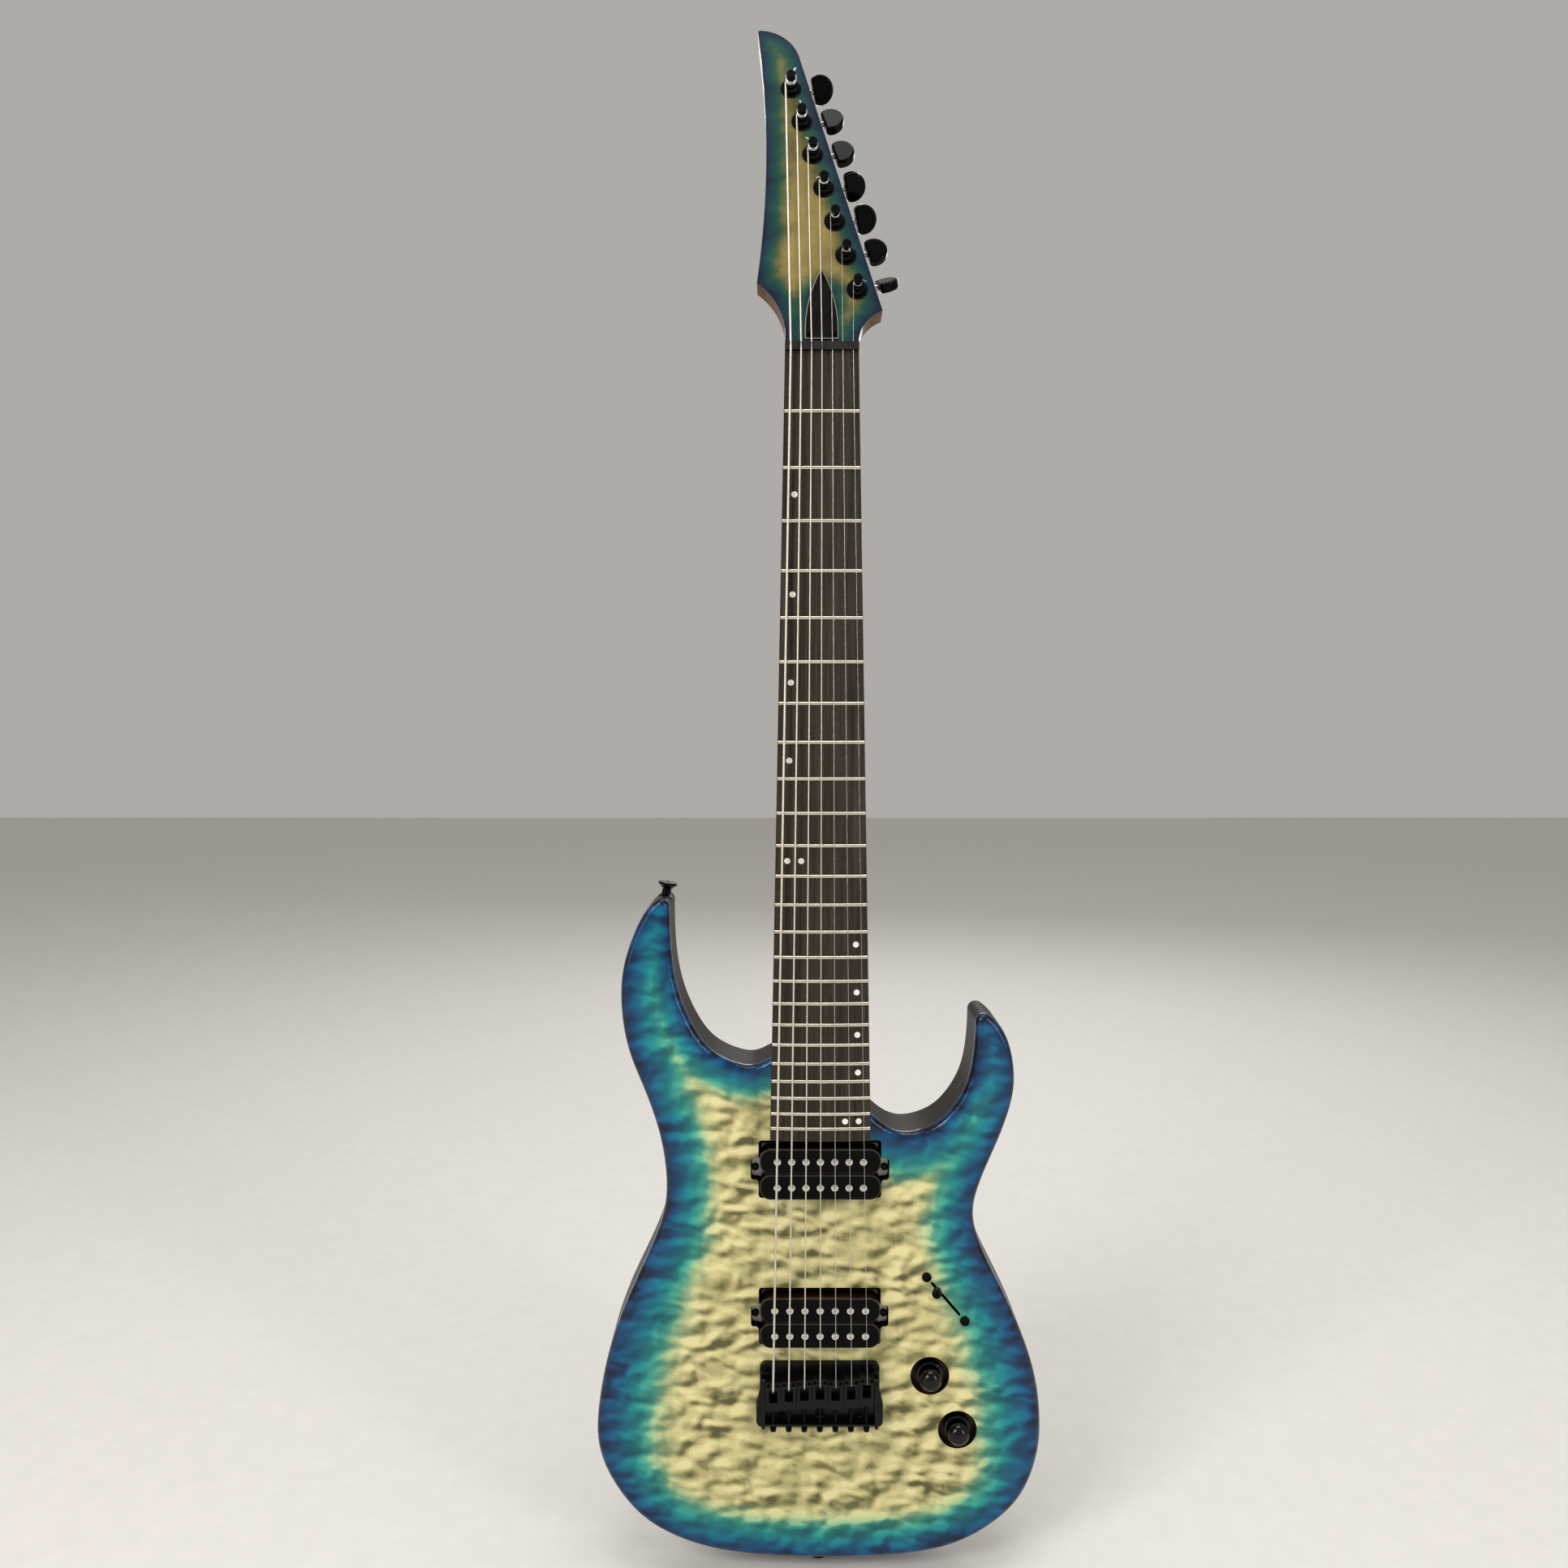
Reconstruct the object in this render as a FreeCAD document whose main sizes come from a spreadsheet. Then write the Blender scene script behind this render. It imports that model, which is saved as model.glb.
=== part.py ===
"""Seven-string electric guitar with a 27 inch scale, a bolted-on neck and a fixed bridge.

Millimetres. The origin is the seat of the strap pin at the end of the body: X runs to the treble side,
Z up along the neck, and the face looks along -Y.
Most pieces are drawn in the face frame (x, up, out): x to the treble side, up along the neck, and out
of the face. The frame is turned upright by each piece's Placement.
"""
import FreeCAD, Part
import math
import os
import re

import Sketcher
from FreeCAD import Placement, Rotation, Vector

# ---------------------------------------------------------------- sizes

sizes = {
    # neck and scale
    "scale_length": 685.8,
    "saddle_line": 139.2,
    "board_width_nut": 48.0,
    "board_width_end": 67.7,
    "board_overhang": 8.65,
    "board_thickness": 6.5,
    "board_rise": 3.9,
    "board_radius": 400.0,
    "neck_depth_nut": 13.5,
    "neck_depth_heel": 16.0,
    "heel_length": 56.0,
    "heel_blend": 34.0,
    "heel_clearance": 0.1,
    "pocket_depth": 16.0,
    "fret_width": 2.4,
    "fret_height": 1.2,
    "fret_inset": 0.4,
    "tang_width": 0.5,
    "tang_depth": 1.8,
    "slot_clearance": 0.05,
    "dot_diameter": 4.0,
    "dot_depth": 1.5,
    "dot_inset": 8.0,
    "dot_pair_spacing": 9.2,
    "rod_width": 6.0,
    "rod_depth": 8.5,
    "rod_clearance": 0.2,
    "nut_length": 5.5,
    "nut_slot_depth": 1.2,
    # headstock
    "head_angle": 11.0,
    "head_face_rise": 6.0,
    "head_thickness": 15.0,
    "veneer_thickness": 1.0,
    "post_pitch": 25.15,
    "first_post_x": 23.4,
    "first_post_reach": 44.0,
    "post_line_angle": 16.7,
    # strings
    "string_spread_nut": 40.4,
    "string_spread_bridge": 64.0,
    "string_height_nut": 0.5,
    "string_height_saddle": 3.0,
    "string_clearance": 0.3,
    # body
    "body_width": 308.4,
    "body_depth": 44.0,
    "cap_depth": 6.0,
    "edge_round": 4.8,
    "back_round": 5.0,
    # pickups
    "pickup_length": 82.0,
    "coil_width": 17.2,
    "bobbin_height": 12.0,
    "bobbin_flange": 2.4,
    "bobbin_corner": 7.5,
    "bobbin_bevel": 0.8,
    "coil_inset": 1.2,
    "pickup_stand": 10.0,
    "pickup_gap": 17.8,
    "neck_pickup_drop": 23.1,
    "bridge_pickup_rise": 36.2,
    "neck_pole_pitch": 9.7,
    "bridge_pole_pitch": 10.3,
    "pole_diameter": 4.8,
    "magnet_thickness": 3.0,
    "plate_thickness": 1.2,
    "route_depth": 19.0,
    "route_gap": 2.6,
    "route_ear_length": 6.4,
    "route_ear_height": 15.0,
    "mount_screw_gap": 3.4,
    # bridge
    "bridge_front": 4.8,
    "bridge_length": 46.6,
    "bridge_side": 3.97,
    "bridge_bulge": 2.5,
    "bridge_plate": 3.0,
    "bridge_wall": 2.2,
    "bridge_wall_height": 6.5,
    "saddle_gap": 0.45,
    "saddle_crest": 2.0,
    "saddle_front": 3.0,
    "saddle_slot": 11.5,
    "saddle_boss": 6.0,
    "saddle_bottom": 2.2,
    "grub_diameter": 2.5,
    "grub_spacing": 6.4,
    "running_clearance": 0.05,
    "intonation_diameter": 2.4,
    "string_hole_drop": 11.9,
    "string_hole": 3.6,
    "ferrule_diameter": 7.9,
    "ferrule_depth": 8.0,
    # controls
    "recess_diameter": 27.0,
    "recess_depth": 6.5,
    "knob_diameter": 18.0,
    "knob_height": 16.6,
    "knob_bore": 6.2,
    "shaft_diameter": 6.0,
    "volume_x": 76.3,
    "volume_rise": 6.4,
    "tone_x": 95.7,
    "tone_rise": 45.0,
    "pot_diameter": 24.0,
    "pot_height": 9.0,
    "pot_thread": 7.2,
    "switch_x": 86.8,
    "switch_rise": 48.45,
    "switch_angle": 49.5,
    "switch_screw_spacing": 40.9,
    "switch_slot_length": 31.0,
    "switch_slot_width": 1.9,
    "switch_pivot_depth": 24.0,
    "switch_tip_height": 11.0,
    "switch_throw": 18.7,
    "cavity_ceiling": 12.0,
    "cover_thickness": 2.5,
    "cover_ledge": 5.0,
    "cover_clearance": 0.3,
    "jack_height": 92.0,
    "jack_bore": 6.4,
    "jack_barrel": 12.0,
    "jack_flange": 20.0,
    "jack_recess": 2.5,
    "jack_length": 28.0,
    # tuners
    "post_diameter": 6.0,
    "post_waist": 5.0,
    "post_height": 14.5,
    "wrap_height": 8.5,
    "bushing_diameter": 14.0,
    "bushing_collar": 11.0,
    "bushing_sleeve": 9.6,
    "bushing_height": 4.6,
    "wheel_teeth": 18,
    "worm_pitch": 2.0,
    "worm_radius": 2.4,
    "tooth_height": 0.5,
    "tooth_width": 0.6,
    "wheel_thickness": 3.0,
    "wheel_depth": 19.6,
    "housing_depth": 9.4,
    "housing_gap": 3.0,
    "key_shaft": 4.0,
    "key_reach": 18.6,
    "button_length": 14.0,
    "button_height": 17.5,
    "button_thickness": 6.6,
    # neck bolts
    "bolt_diameter": 5.0,
    "bolt_head": 9.0,
    "bolt_length": 36.0,
    "ring_diameter": 14.0,
    "ring_depth": 3.0,
    # strap pins
    "pin_flange": 10.4,
    "pin_neck": 6.4,
    "pin_head": 13.2,
    "pin_height": 11.0,
    "pin_screw": 3.6,
    "pin_screw_length": 26.0,
}

string_diameters = (1.5, 1.17, 0.91, 0.66, 0.43, 0.33, 0.25)
saddle_setbacks = (6.7, 5.9, 5.1, 4.4, 5.2, 4.3, 3.2)
single_dot_frets = {3: -1, 5: -1, 7: -1, 9: -1, 15: 1, 17: 1, 19: 1, 21: 1}
double_dot_frets = {12: -1, 24: 1}
fret_count = 24

document = FreeCAD.newDocument("ElectricGuitar")
sheet = document.addObject("Spreadsheet::Sheet", "Sizes")
for row, (name, number) in enumerate(sizes.items(), start=1):
    sheet.set("A%d" % row, name)
    sheet.set("B%d" % row, str(number))
    sheet.setAlias("B%d" % row, name)
document.recompute()
size = {name: float(sheet.get(name)) for name in sizes}

# ---------------------------------------------------------------- places that several pieces share

string_count = len(string_diameters)
face = size["body_depth"] / 2
back = -face
cap_seam = face - size["cap_depth"]
nut_line = size["saddle_line"] + size["scale_length"]
last_fret = nut_line - size["scale_length"] * (1 - 2 ** (-fret_count / 12))
neck_end = last_fret - size["board_overhang"]
board_seat = face + size["board_rise"]
board_top = board_seat + size["board_thickness"]
fret_top = board_top + size["fret_height"]
pocket_floor = face - size["pocket_depth"]
plate_top = face + size["bridge_plate"]
string_hole_line = size["saddle_line"] - size["string_hole_drop"]
bridge_front = size["saddle_line"] + size["bridge_front"]
bridge_rear = bridge_front - size["bridge_length"]
saddle_pitch = size["string_spread_bridge"] / (string_count - 1)
string_xs_bridge = [(k - (string_count - 1) / 2) * saddle_pitch for k in range(string_count)]
nut_pitch = size["string_spread_nut"] / (string_count - 1)
string_xs_nut = [(k - (string_count - 1) / 2) * nut_pitch for k in range(string_count)]
string_bottom_nut = fret_top + size["string_height_nut"]
string_bottom_saddle = fret_top + size["string_height_saddle"]
crest_top = string_bottom_saddle - size["string_clearance"]
crest_lines = [size["saddle_line"] - setback for setback in saddle_setbacks]
wheel_radius = size["wheel_teeth"] * size["worm_pitch"] / (2 * math.pi)
worm_offset = wheel_radius + size["worm_radius"]
housing_high = worm_offset + 5.0
housing_low = housing_high - (size["post_pitch"] - size["housing_gap"])
head_back = size["head_thickness"]

upright = Placement(Vector(0, 0, 0), Rotation(Vector(1, 0, 0), 90))
head_frame = Placement(
    Vector(0, -face - size["head_face_rise"], nut_line),
    Rotation(Vector(1, 0, 0), 90 - size["head_angle"]),
)


def half_board(up):
    """Half of the fingerboard's width at a height."""
    taper = (size["board_width_end"] - size["board_width_nut"]) / (nut_line - last_fret)
    return (size["board_width_nut"] + taper * (nut_line - up)) / 2


# ---------------------------------------------------------------- ways to build a piece


def sized(text):
    """An expression whose words are cells of the sheet."""
    return re.sub(r"[a-z][a-z_]+", lambda word: "Sizes." + word.group(), text)


def bind(item, path, text):
    item.setExpression(path, sized(text))


def origin_plane(body, role):
    return next(feature for feature in body.Origin.OriginFeatures if feature.Role == role)


def new_body(label):
    body = document.addObject("PartDesign::Body", "Body")
    body.Label = label
    return body


def attach(body, plane):
    sketch = body.newObject("Sketcher::SketchObject", "Sketch")
    sketch.AttachmentSupport = [(origin_plane(body, plane), "")]
    sketch.MapMode = "FlatFace"
    return sketch


def pin_point(sketch, geometry, point, across, along, guess):
    """Ties one point of a sketch to two expressions."""
    for kind, axis, text, start in (("DistanceX", -2, across, guess.x), ("DistanceY", -1, along, guess.y)):
        if text == "0":
            sketch.addConstraint(Sketcher.Constraint("PointOnObject", geometry, point, axis))
        else:
            index = sketch.addConstraint(Sketcher.Constraint(kind, -1, 1, geometry, point, start))
            sketch.setExpression("Constraints[%d]" % index, sized(text))


def draw_corners(sketch, corners):
    """A closed outline of straight lines, each corner a pair of expressions."""
    count = len(corners)
    turns = [2 * math.pi * (k + 0.3) / count for k in range(count)]
    guesses = [Vector(10 * math.cos(turn), 10 * math.sin(turn), 0) for turn in turns]
    first = sketch.GeometryCount
    for k in range(count):
        sketch.addGeometry(Part.LineSegment(guesses[k], guesses[(k + 1) % count]))
    for k in range(count):
        sketch.addConstraint(Sketcher.Constraint("Coincident", first + k, 2, first + (k + 1) % count, 1))
    for k, (across, along) in enumerate(corners):
        pin_point(sketch, first + k, 1, across, along, guesses[k])


def turned(label, corners):
    """A lathe-turned piece: half of its section, as (radius, height) pairs."""
    body = new_body(label)
    sketch = attach(body, "XZ_Plane")
    draw_corners(sketch, corners)
    feature = body.newObject("PartDesign::Revolution", "Revolution")
    feature.Profile = sketch
    feature.ReferenceAxis = (sketch, ["V_Axis"])
    feature.Angle = 360
    return body


def dressed(body, kind, edge_test, width):
    """A fillet or chamfer on the edges that pass a test."""
    document.recompute()
    base = body.Tip
    edges = ["Edge%d" % (k + 1) for k, edge in enumerate(base.Shape.Edges) if edge_test(edge)]
    feature = body.newObject("PartDesign::" + kind, kind)
    feature.Base = (base, edges)
    bind(feature, "Radius" if kind == "Fillet" else "Size", width)
    return feature


def box(label, corner, spans):
    item = document.addObject("Part::Box", "Box")
    item.Label = label
    for path, text in zip(("Length", "Width", "Height"), spans):
        bind(item, path, text)
    for path, text in zip("xyz", corner):
        bind(item, "Placement.Base." + path, text)
    return item


def cylinder(label, centre, diameter, height, rotation=Rotation()):
    item = document.addObject("Part::Cylinder", "Cylinder")
    item.Label = label
    item.Placement = Placement(Vector(0, 0, 0), rotation)
    bind(item, "Radius", "(%s) / 2" % diameter)
    bind(item, "Height", height)
    for path, text in zip("xyz", centre):
        bind(item, "Placement.Base." + path, text)
    return item


def fused(label, items):
    result = document.addObject("Part::MultiFuse", "Fuse")
    result.Label = label
    result.Shapes = items
    return result


def cut(label, base, tools):
    tool = tools[0] if len(tools) == 1 else fused(label + "_cuts", tools)
    result = document.addObject("Part::Cut", "Cut")
    result.Label = label
    result.Base = base
    result.Tool = tool
    return result


def feature(label, shape, placement=upright):
    """A piece whose shape is made here, in its own frame, from the sheet's values."""
    item = document.addObject("Part::Feature", "Piece")
    item.Label = label
    item.Shape = shape
    item.Placement = placement.multiply(shape.Placement)
    return item


def copies(label, master, placements):
    """Identical pieces that share one node."""
    document.recompute()
    solids = [solid for solid in master.Shape.Solids]
    placed = []
    for placement in placements:
        for solid in solids:
            copy = solid.copy()
            copy.Placement = placement.multiply(copy.Placement)
            placed.append(copy)
    return feature(label, Part.makeCompound(placed), Placement())


def at(x, up, out, rotation=Rotation()):
    """A placement in the face frame."""
    return upright.multiply(Placement(Vector(x, up, out), rotation))


def tube_solid(outer, inner, base, height, direction=Vector(0, 0, 1)):
    solid = Part.makeCylinder(outer, height, base, direction)
    return solid.cut(Part.makeCylinder(inner, height, base, direction)) if inner else solid


def rounded_polygon(points, radius, out=0.0):
    """A face whose straight sides meet in arcs of one radius."""
    edges = []
    count = len(points)
    joins = []
    for k in range(count):
        before, corner, after = (Vector(*points[(k + step) % count], out) for step in (-1, 0, 1))
        inward = (before - corner).normalize()
        outward = (after - corner).normalize()
        half_turn = (math.pi - inward.getAngle(outward)) / 2
        reach = radius * math.tan(half_turn)
        middle = corner + (inward + outward).normalize() * (radius / math.cos(half_turn) - radius)
        joins.append((corner + inward * reach, middle, corner + outward * reach))
    for k, (start, middle, end) in enumerate(joins):
        edges.append(Part.Arc(start, middle, end).toShape())
        edges.append(Part.LineSegment(end, joins[(k + 1) % count][0]).toShape())
    return Part.Face(Part.Wire(edges))


def keep(item):
    kept.append(item)
    return item


kept = []

# ---------------------------------------------------------------- body

outline_width = 308.4
outline_reach = 302.0
bass_tip = (-107.6, 459.6)
bass_tip_radius = 5.6
treble_tip = (111.8, 380.4)
treble_tip_radius = 5.8
bass_cutaway = ((-45, 350.2), (-58, 352.2), (-73.7, 360.5), (-85.3, 375), (-94.5, 395), (-99.8, 417),
    (-101.7, 438))
outer_edge = (
    (-122.3, 450.5), (-132.3, 424.5), (-135.7, 395), (-131.3, 363), (-121, 335), (-110, 302), (-105.5, 268),
    (-110, 239), (-124, 206), (-137.4, 175), (-148, 141), (-154.4, 101), (-152.3, 75), (-143.1, 54),
    (-125.5, 31.5), (-99.6, 15), (-60, 3.8), (0, 0), (60, 2.4), (100, 12.2), (127.6, 30), (144, 51),
    (152.3, 77), (153.5, 102), (148.8, 135), (134.5, 175), (118, 209), (107.3, 236), (106.9, 257),
    (114.5, 279.5), (123.5, 301), (131.2, 325), (132.8, 346), (128.8, 367),
)
treble_cutaway = ((104.9, 358), (99.9, 336), (88, 317), (74.8, 307.3), (58, 303.6), (44.5, 308.3))
bass_neck_joint = 355.5
treble_neck_joint = 317.5
heel_bulge = (8.0, 349.0)


def on_body(x, up, out=0.0):
    """A point of the outline, scaled to the body's width and reach."""
    return Vector(x * size["body_width"] / outline_width, up * neck_end / outline_reach, out)


def tip_point(centre, radius, degrees):
    angle = math.radians(degrees)
    return on_body(centre[0] + radius * math.cos(angle), centre[1] + radius * math.sin(angle))


def tip_arc(centre, radius, first, last):
    """The rounded end of a horn, and the direction of travel at each of its ends."""
    points = [tip_point(centre, radius, angle) for angle in (first, (first + last) / 2, last)]
    arc = Part.Arc(*points)
    return arc.toShape(), arc.tangent(arc.FirstParameter)[0], arc.tangent(arc.LastParameter)[0]


def smooth(points, first_tangent=None, last_tangent=None):
    """A spline through points that leaves and arrives along the given directions."""
    start_leg = first_tangent or (points[1] - points[0]).normalize()
    end_leg = last_tangent or (points[-1] - points[-2]).normalize()
    reach = (points[1] - points[0]).Length / 3
    last_reach = (points[-1] - points[-2]).Length / 3
    poles = [points[0], points[0] + start_leg * reach] + points[1:-1]
    poles += [points[-1] - end_leg * last_reach, points[-1]]
    targets = list(poles)
    for _ in range(12):
        for k in range(2, len(poles) - 2):
            on_curve = (poles[k - 1] + poles[k] * 4 + poles[k + 1]) * (1 / 6)
            poles[k] = poles[k] + targets[k] - on_curve
    curve = Part.BSplineCurve()
    curve.buildFromPoles(poles, False, 3)
    return curve.toShape()


def body_outline():
    """The body's outline as a closed wire at mid depth."""
    bass_joint = on_body(0, bass_neck_joint)
    bass_joint.x = -half_board(bass_joint.y)
    treble_joint = on_body(0, treble_neck_joint)
    treble_joint.x = half_board(treble_joint.y)
    bass_arc, bass_in, bass_out = tip_arc(bass_tip, bass_tip_radius, 0, 130)
    treble_arc, treble_in, treble_out = tip_arc(treble_tip, treble_tip_radius, 55, 180)
    bass_start = tip_point(bass_tip, bass_tip_radius, 0)
    bass_end = tip_point(bass_tip, bass_tip_radius, 130)
    treble_start = tip_point(treble_tip, treble_tip_radius, 55)
    treble_end = tip_point(treble_tip, treble_tip_radius, 180)
    inner_bass = [bass_joint] + [on_body(*point) for point in bass_cutaway] + [bass_start]
    outside = [bass_end] + [on_body(*point) for point in outer_edge] + [treble_start]
    inner_treble = [treble_end] + [on_body(*point) for point in treble_cutaway] + [treble_joint]
    under_neck = Part.Arc(treble_joint, on_body(*heel_bulge), bass_joint).toShape()
    return Part.Wire([
        smooth(inner_bass, None, bass_in),
        bass_arc,
        smooth(outside, bass_out, treble_in),
        treble_arc,
        smooth(inner_treble, treble_out, None),
        under_neck,
    ])


outline = body_outline()


def slab(low, high):
    """The body's outline between two distances out of its mid plane."""
    face_shape = Part.Face(outline)
    face_shape.translate(Vector(0, 0, low))
    return face_shape.extrude(Vector(0, 0, high - low))


def rounded_slab(low, high, rounded, radius):
    """A slab with the edge at one of its faces rounded."""
    solid = slab(low, high)
    level = [edge for edge in solid.Edges if abs(edge.BoundBox.ZMin - rounded) < 0.01
             and abs(edge.BoundBox.ZMax - rounded) < 0.01]
    return solid.makeFillet(radius, level)


def edge_x(up):
    """How far out the treble side of the outline stands at a height."""
    across = Part.LineSegment(Vector(20, up, 0), Vector(2 * size["body_width"], up, 0)).toShape()
    return max(across.common(Part.Face(outline)).BoundBox.XMax, 0)


# ---------------------------------------------------------------- neck


def section_wire(up, half, depth, curved):
    """The neck's section at a height: flat on the front, round or square at the back."""
    front = board_seat
    shoulder = front - (1.5 if curved else depth)
    corners = [Vector(-half, up, front), Vector(half, up, front)]
    corners += [Vector(half, up, shoulder), Vector(-half, up, shoulder)]
    lines = [Part.LineSegment(corners[k], corners[k + 1]).toShape() for k in (0, 1)]
    if curved:
        rear = Part.Arc(corners[2], Vector(0, up, front - depth), corners[3]).toShape()
    else:
        rear = Part.LineSegment(corners[2], corners[3]).toShape()
    return Part.Wire(lines + [rear, Part.LineSegment(corners[3], corners[0]).toShape()])


heel_top = neck_end + size["heel_length"]
blend_top = heel_top + size["heel_blend"]
heel_depth = board_seat - pocket_floor


def neck_shaft():
    """Heel, blend and shaft, up to inside the headstock."""
    wires = [section_wire(neck_end, half_board(neck_end), heel_depth, False)]
    wires.append(section_wire(heel_top, half_board(heel_top), heel_depth, False))
    heel = Part.makeLoft(wires, True, True)
    blend = Part.makeLoft([
        section_wire(heel_top, half_board(heel_top), heel_depth, False),
        section_wire(blend_top, half_board(blend_top), size["neck_depth_heel"], True),
    ], True, True)
    end = nut_line + 12
    shaft = Part.makeLoft([
        section_wire(blend_top, half_board(blend_top), size["neck_depth_heel"], True),
        section_wire(end, half_board(nut_line) - 0.2, size["neck_depth_nut"], True),
    ], True, True)
    return heel.fuse([blend, shaft]).removeSplitter()


def heel_pocket():
    """The room that the neck's heel takes up in the body."""
    gap = size["heel_clearance"]
    low, high = neck_end - gap, neck_end + 2 * size["heel_length"]
    wires = []
    for up in (low, high):
        half = half_board(up) + gap
        corners = [Vector(x, up, out) for x, out in (
            (-half, pocket_floor), (half, pocket_floor), (half, board_top), (-half, board_top))]
        wires.append(Part.makePolygon(corners + corners[:1]))
    return Part.makeLoft(wires, True, True)


head_joint = size["nut_length"] + 0.3
head_half = size["board_width_nut"] / 2


def head_outline(out):
    """The headstock's outline in its own plane: x across, y along it from the nut's front edge."""
    left_corner = Vector(-42.4, 49.1, out)
    right_corner = Vector(40, 29.5, out)
    left_start = Vector(-head_half, head_joint, out)
    right_start = Vector(head_half, head_joint, out)
    tip_left = Vector(-42.2, 230.2, out)
    tip_top = Vector(-40.6, 231.8, out)
    shoulder = Vector(-13.4, 208.8, out)
    return Part.Wire([
        Part.Arc(left_start, Vector(-27.6, 30.3, out), left_corner).toShape(),
        Part.Arc(left_corner, Vector(-36.4, 140, out), tip_left).toShape(),
        Part.Arc(tip_left, Vector(-41.8, 231.3, out), tip_top).toShape(),
        Part.Arc(tip_top, Vector(-23.9, 225.9, out), shoulder).toShape(),
        Part.LineSegment(shoulder, right_corner).toShape(),
        Part.Arc(right_corner, Vector(28.6, 20.6, out), right_start).toShape(),
        Part.LineSegment(right_start, left_start).toShape(),
    ])


def head_slab(low, high):
    solid = Part.Face(head_outline(low))
    return solid.extrude(Vector(0, 0, high - low))


line_angle = math.radians(size["post_line_angle"])
along_line = Vector(-math.sin(line_angle), math.cos(line_angle), 0)
first_post = Vector(size["first_post_x"], size["first_post_reach"], 0)
# The bass string is number 0 and runs to the post farthest from the nut.
post_places = [first_post + along_line * (size["post_pitch"] * (string_count - 1 - k)) for k in range(
    string_count)]
post_turn = Rotation(Vector(0, 0, 1), size["post_line_angle"])
tuner_frames = [head_frame.multiply(Placement(place, post_turn)) for place in post_places]


def in_face(shape, placement):
    """A copy of a shape, moved from a frame of the finished guitar into the face frame."""
    moved = shape.copy()
    moved.Placement = upright.inverse().multiply(placement).multiply(moved.Placement)
    return moved


cover_start = 9.0
cover_length = 49.5
cover_width = 21.6
rod_cavity_width = 9.0
rod_cavity_depth = 9.0
rod_end = 40.0


def rod_channel(extra):
    """The truss rod's bar, or its channel when it has extra room, in the face frame."""
    width = size["rod_width"] + 2 * extra
    depth = size["rod_depth"] + extra
    low = neck_end + 12 - extra
    high = nut_line + 4
    corner = Vector(-width / 2, low, board_seat - depth)
    return Part.makeBox(width, high - low, depth if extra else depth - 0.2, corner)


def rod_cavity():
    """The pocket under the cover, where the rod's adjuster is reached, in the head's frame."""
    return Part.makeBox(
        rod_cavity_width, rod_end - cover_start + 14, rod_cavity_depth + 10,
        Vector(-rod_cavity_width / 2, cover_start - 14, -rod_cavity_depth))


cover_screws = [(0, 51.5), (-8.2, 12.2), (8.2, 12.2)]


def cover_screw_holes():
    """Pilot holes for the cover's screws, in the head's frame."""
    return [Part.makeCylinder(0.85, 9, Vector(x, along, -7)) for x, along in cover_screws]


def neck_shape():
    head = head_slab(-head_back, -size["veneer_thickness"])
    wood = neck_shaft().fuse(in_face(head, head_frame)).removeSplitter()
    nut_room = Part.makeBox(80, size["nut_length"], 20, Vector(-40, nut_line, board_seat))
    veneer_room = head_slab(-size["veneer_thickness"], 4)
    tools = [nut_room, rod_channel(size["rod_clearance"])]
    tools += [in_face(shape, head_frame) for shape in [veneer_room, rod_cavity()] + cover_screw_holes()]
    for frame in tuner_frames:
        tools.append(in_face(Part.makeCylinder(
            size["bushing_sleeve"] / 2 + 0.1, head_back + 2, Vector(0, 0, -head_back - 1)), frame))
    return wood.cut(tools)


# ---------------------------------------------------------------- fingerboard, frets and dots

crown_axis_out = board_top - size["board_radius"]


def fret_lines():
    return [nut_line - size["scale_length"] * (1 - 2 ** (-n / 12)) for n in range(1, fret_count + 1)]


def board_blank():
    corners = [(-half_board(neck_end), neck_end), (half_board(neck_end), neck_end)]
    corners += [(half_board(nut_line), nut_line), (-half_board(nut_line), nut_line)]
    points = [Vector(x, up, board_seat) for x, up in corners]
    plank = Part.Face(Part.makePolygon(points + points[:1])).extrude(
        Vector(0, 0, size["board_thickness"] + 1))
    crown = Part.makeCylinder(
        size["board_radius"], nut_line - neck_end + 20, Vector(0, neck_end - 10, crown_axis_out),
            Vector(0, 1, 0))
    return plank.common(crown)


def fret_shape(up):
    """One fret: a crown with its tang, bent to the fingerboard's curve."""
    half = size["fret_width"] / 2
    tang = size["tang_width"] / 2
    seat = board_top + 0.02
    low = board_top - size["tang_depth"]
    crown = Part.Arc(
        Vector(0, up - half, seat), Vector(0, up, fret_top), Vector(0, up + half, seat)).toShape()
    corners = [(half, seat), (tang, seat), (tang, low), (-tang, low), (-tang, seat), (-half, seat)]
    points = [Vector(0, up + across, out) for across, out in corners]
    sides = [Part.LineSegment(points[k], points[k + 1]).toShape() for k in range(len(points) - 1)]
    sweep = math.degrees((half_board(up) - size["fret_inset"]) / size["board_radius"])
    profile = Part.Face(Part.Wire([crown] + sides))
    axis = Vector(0, 1, 0)
    centre = Vector(0, 0, crown_axis_out)
    profile.rotate(centre, axis, -sweep)
    return profile.revolve(centre, axis, 2 * sweep)


def dot_places():
    """The middle of each marked space, and the sides of its dots."""
    lines = [nut_line] + fret_lines()
    places = []
    for marks, pair in ((single_dot_frets, False), (double_dot_frets, True)):
        for fret, side in marks.items():
            up = (lines[fret] + lines[fret - 1]) / 2
            x = side * (half_board(up) - size["dot_inset"])
            places.append((x, up))
            if pair:
                places.append((x - side * size["dot_pair_spacing"], up))
    return places


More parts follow.
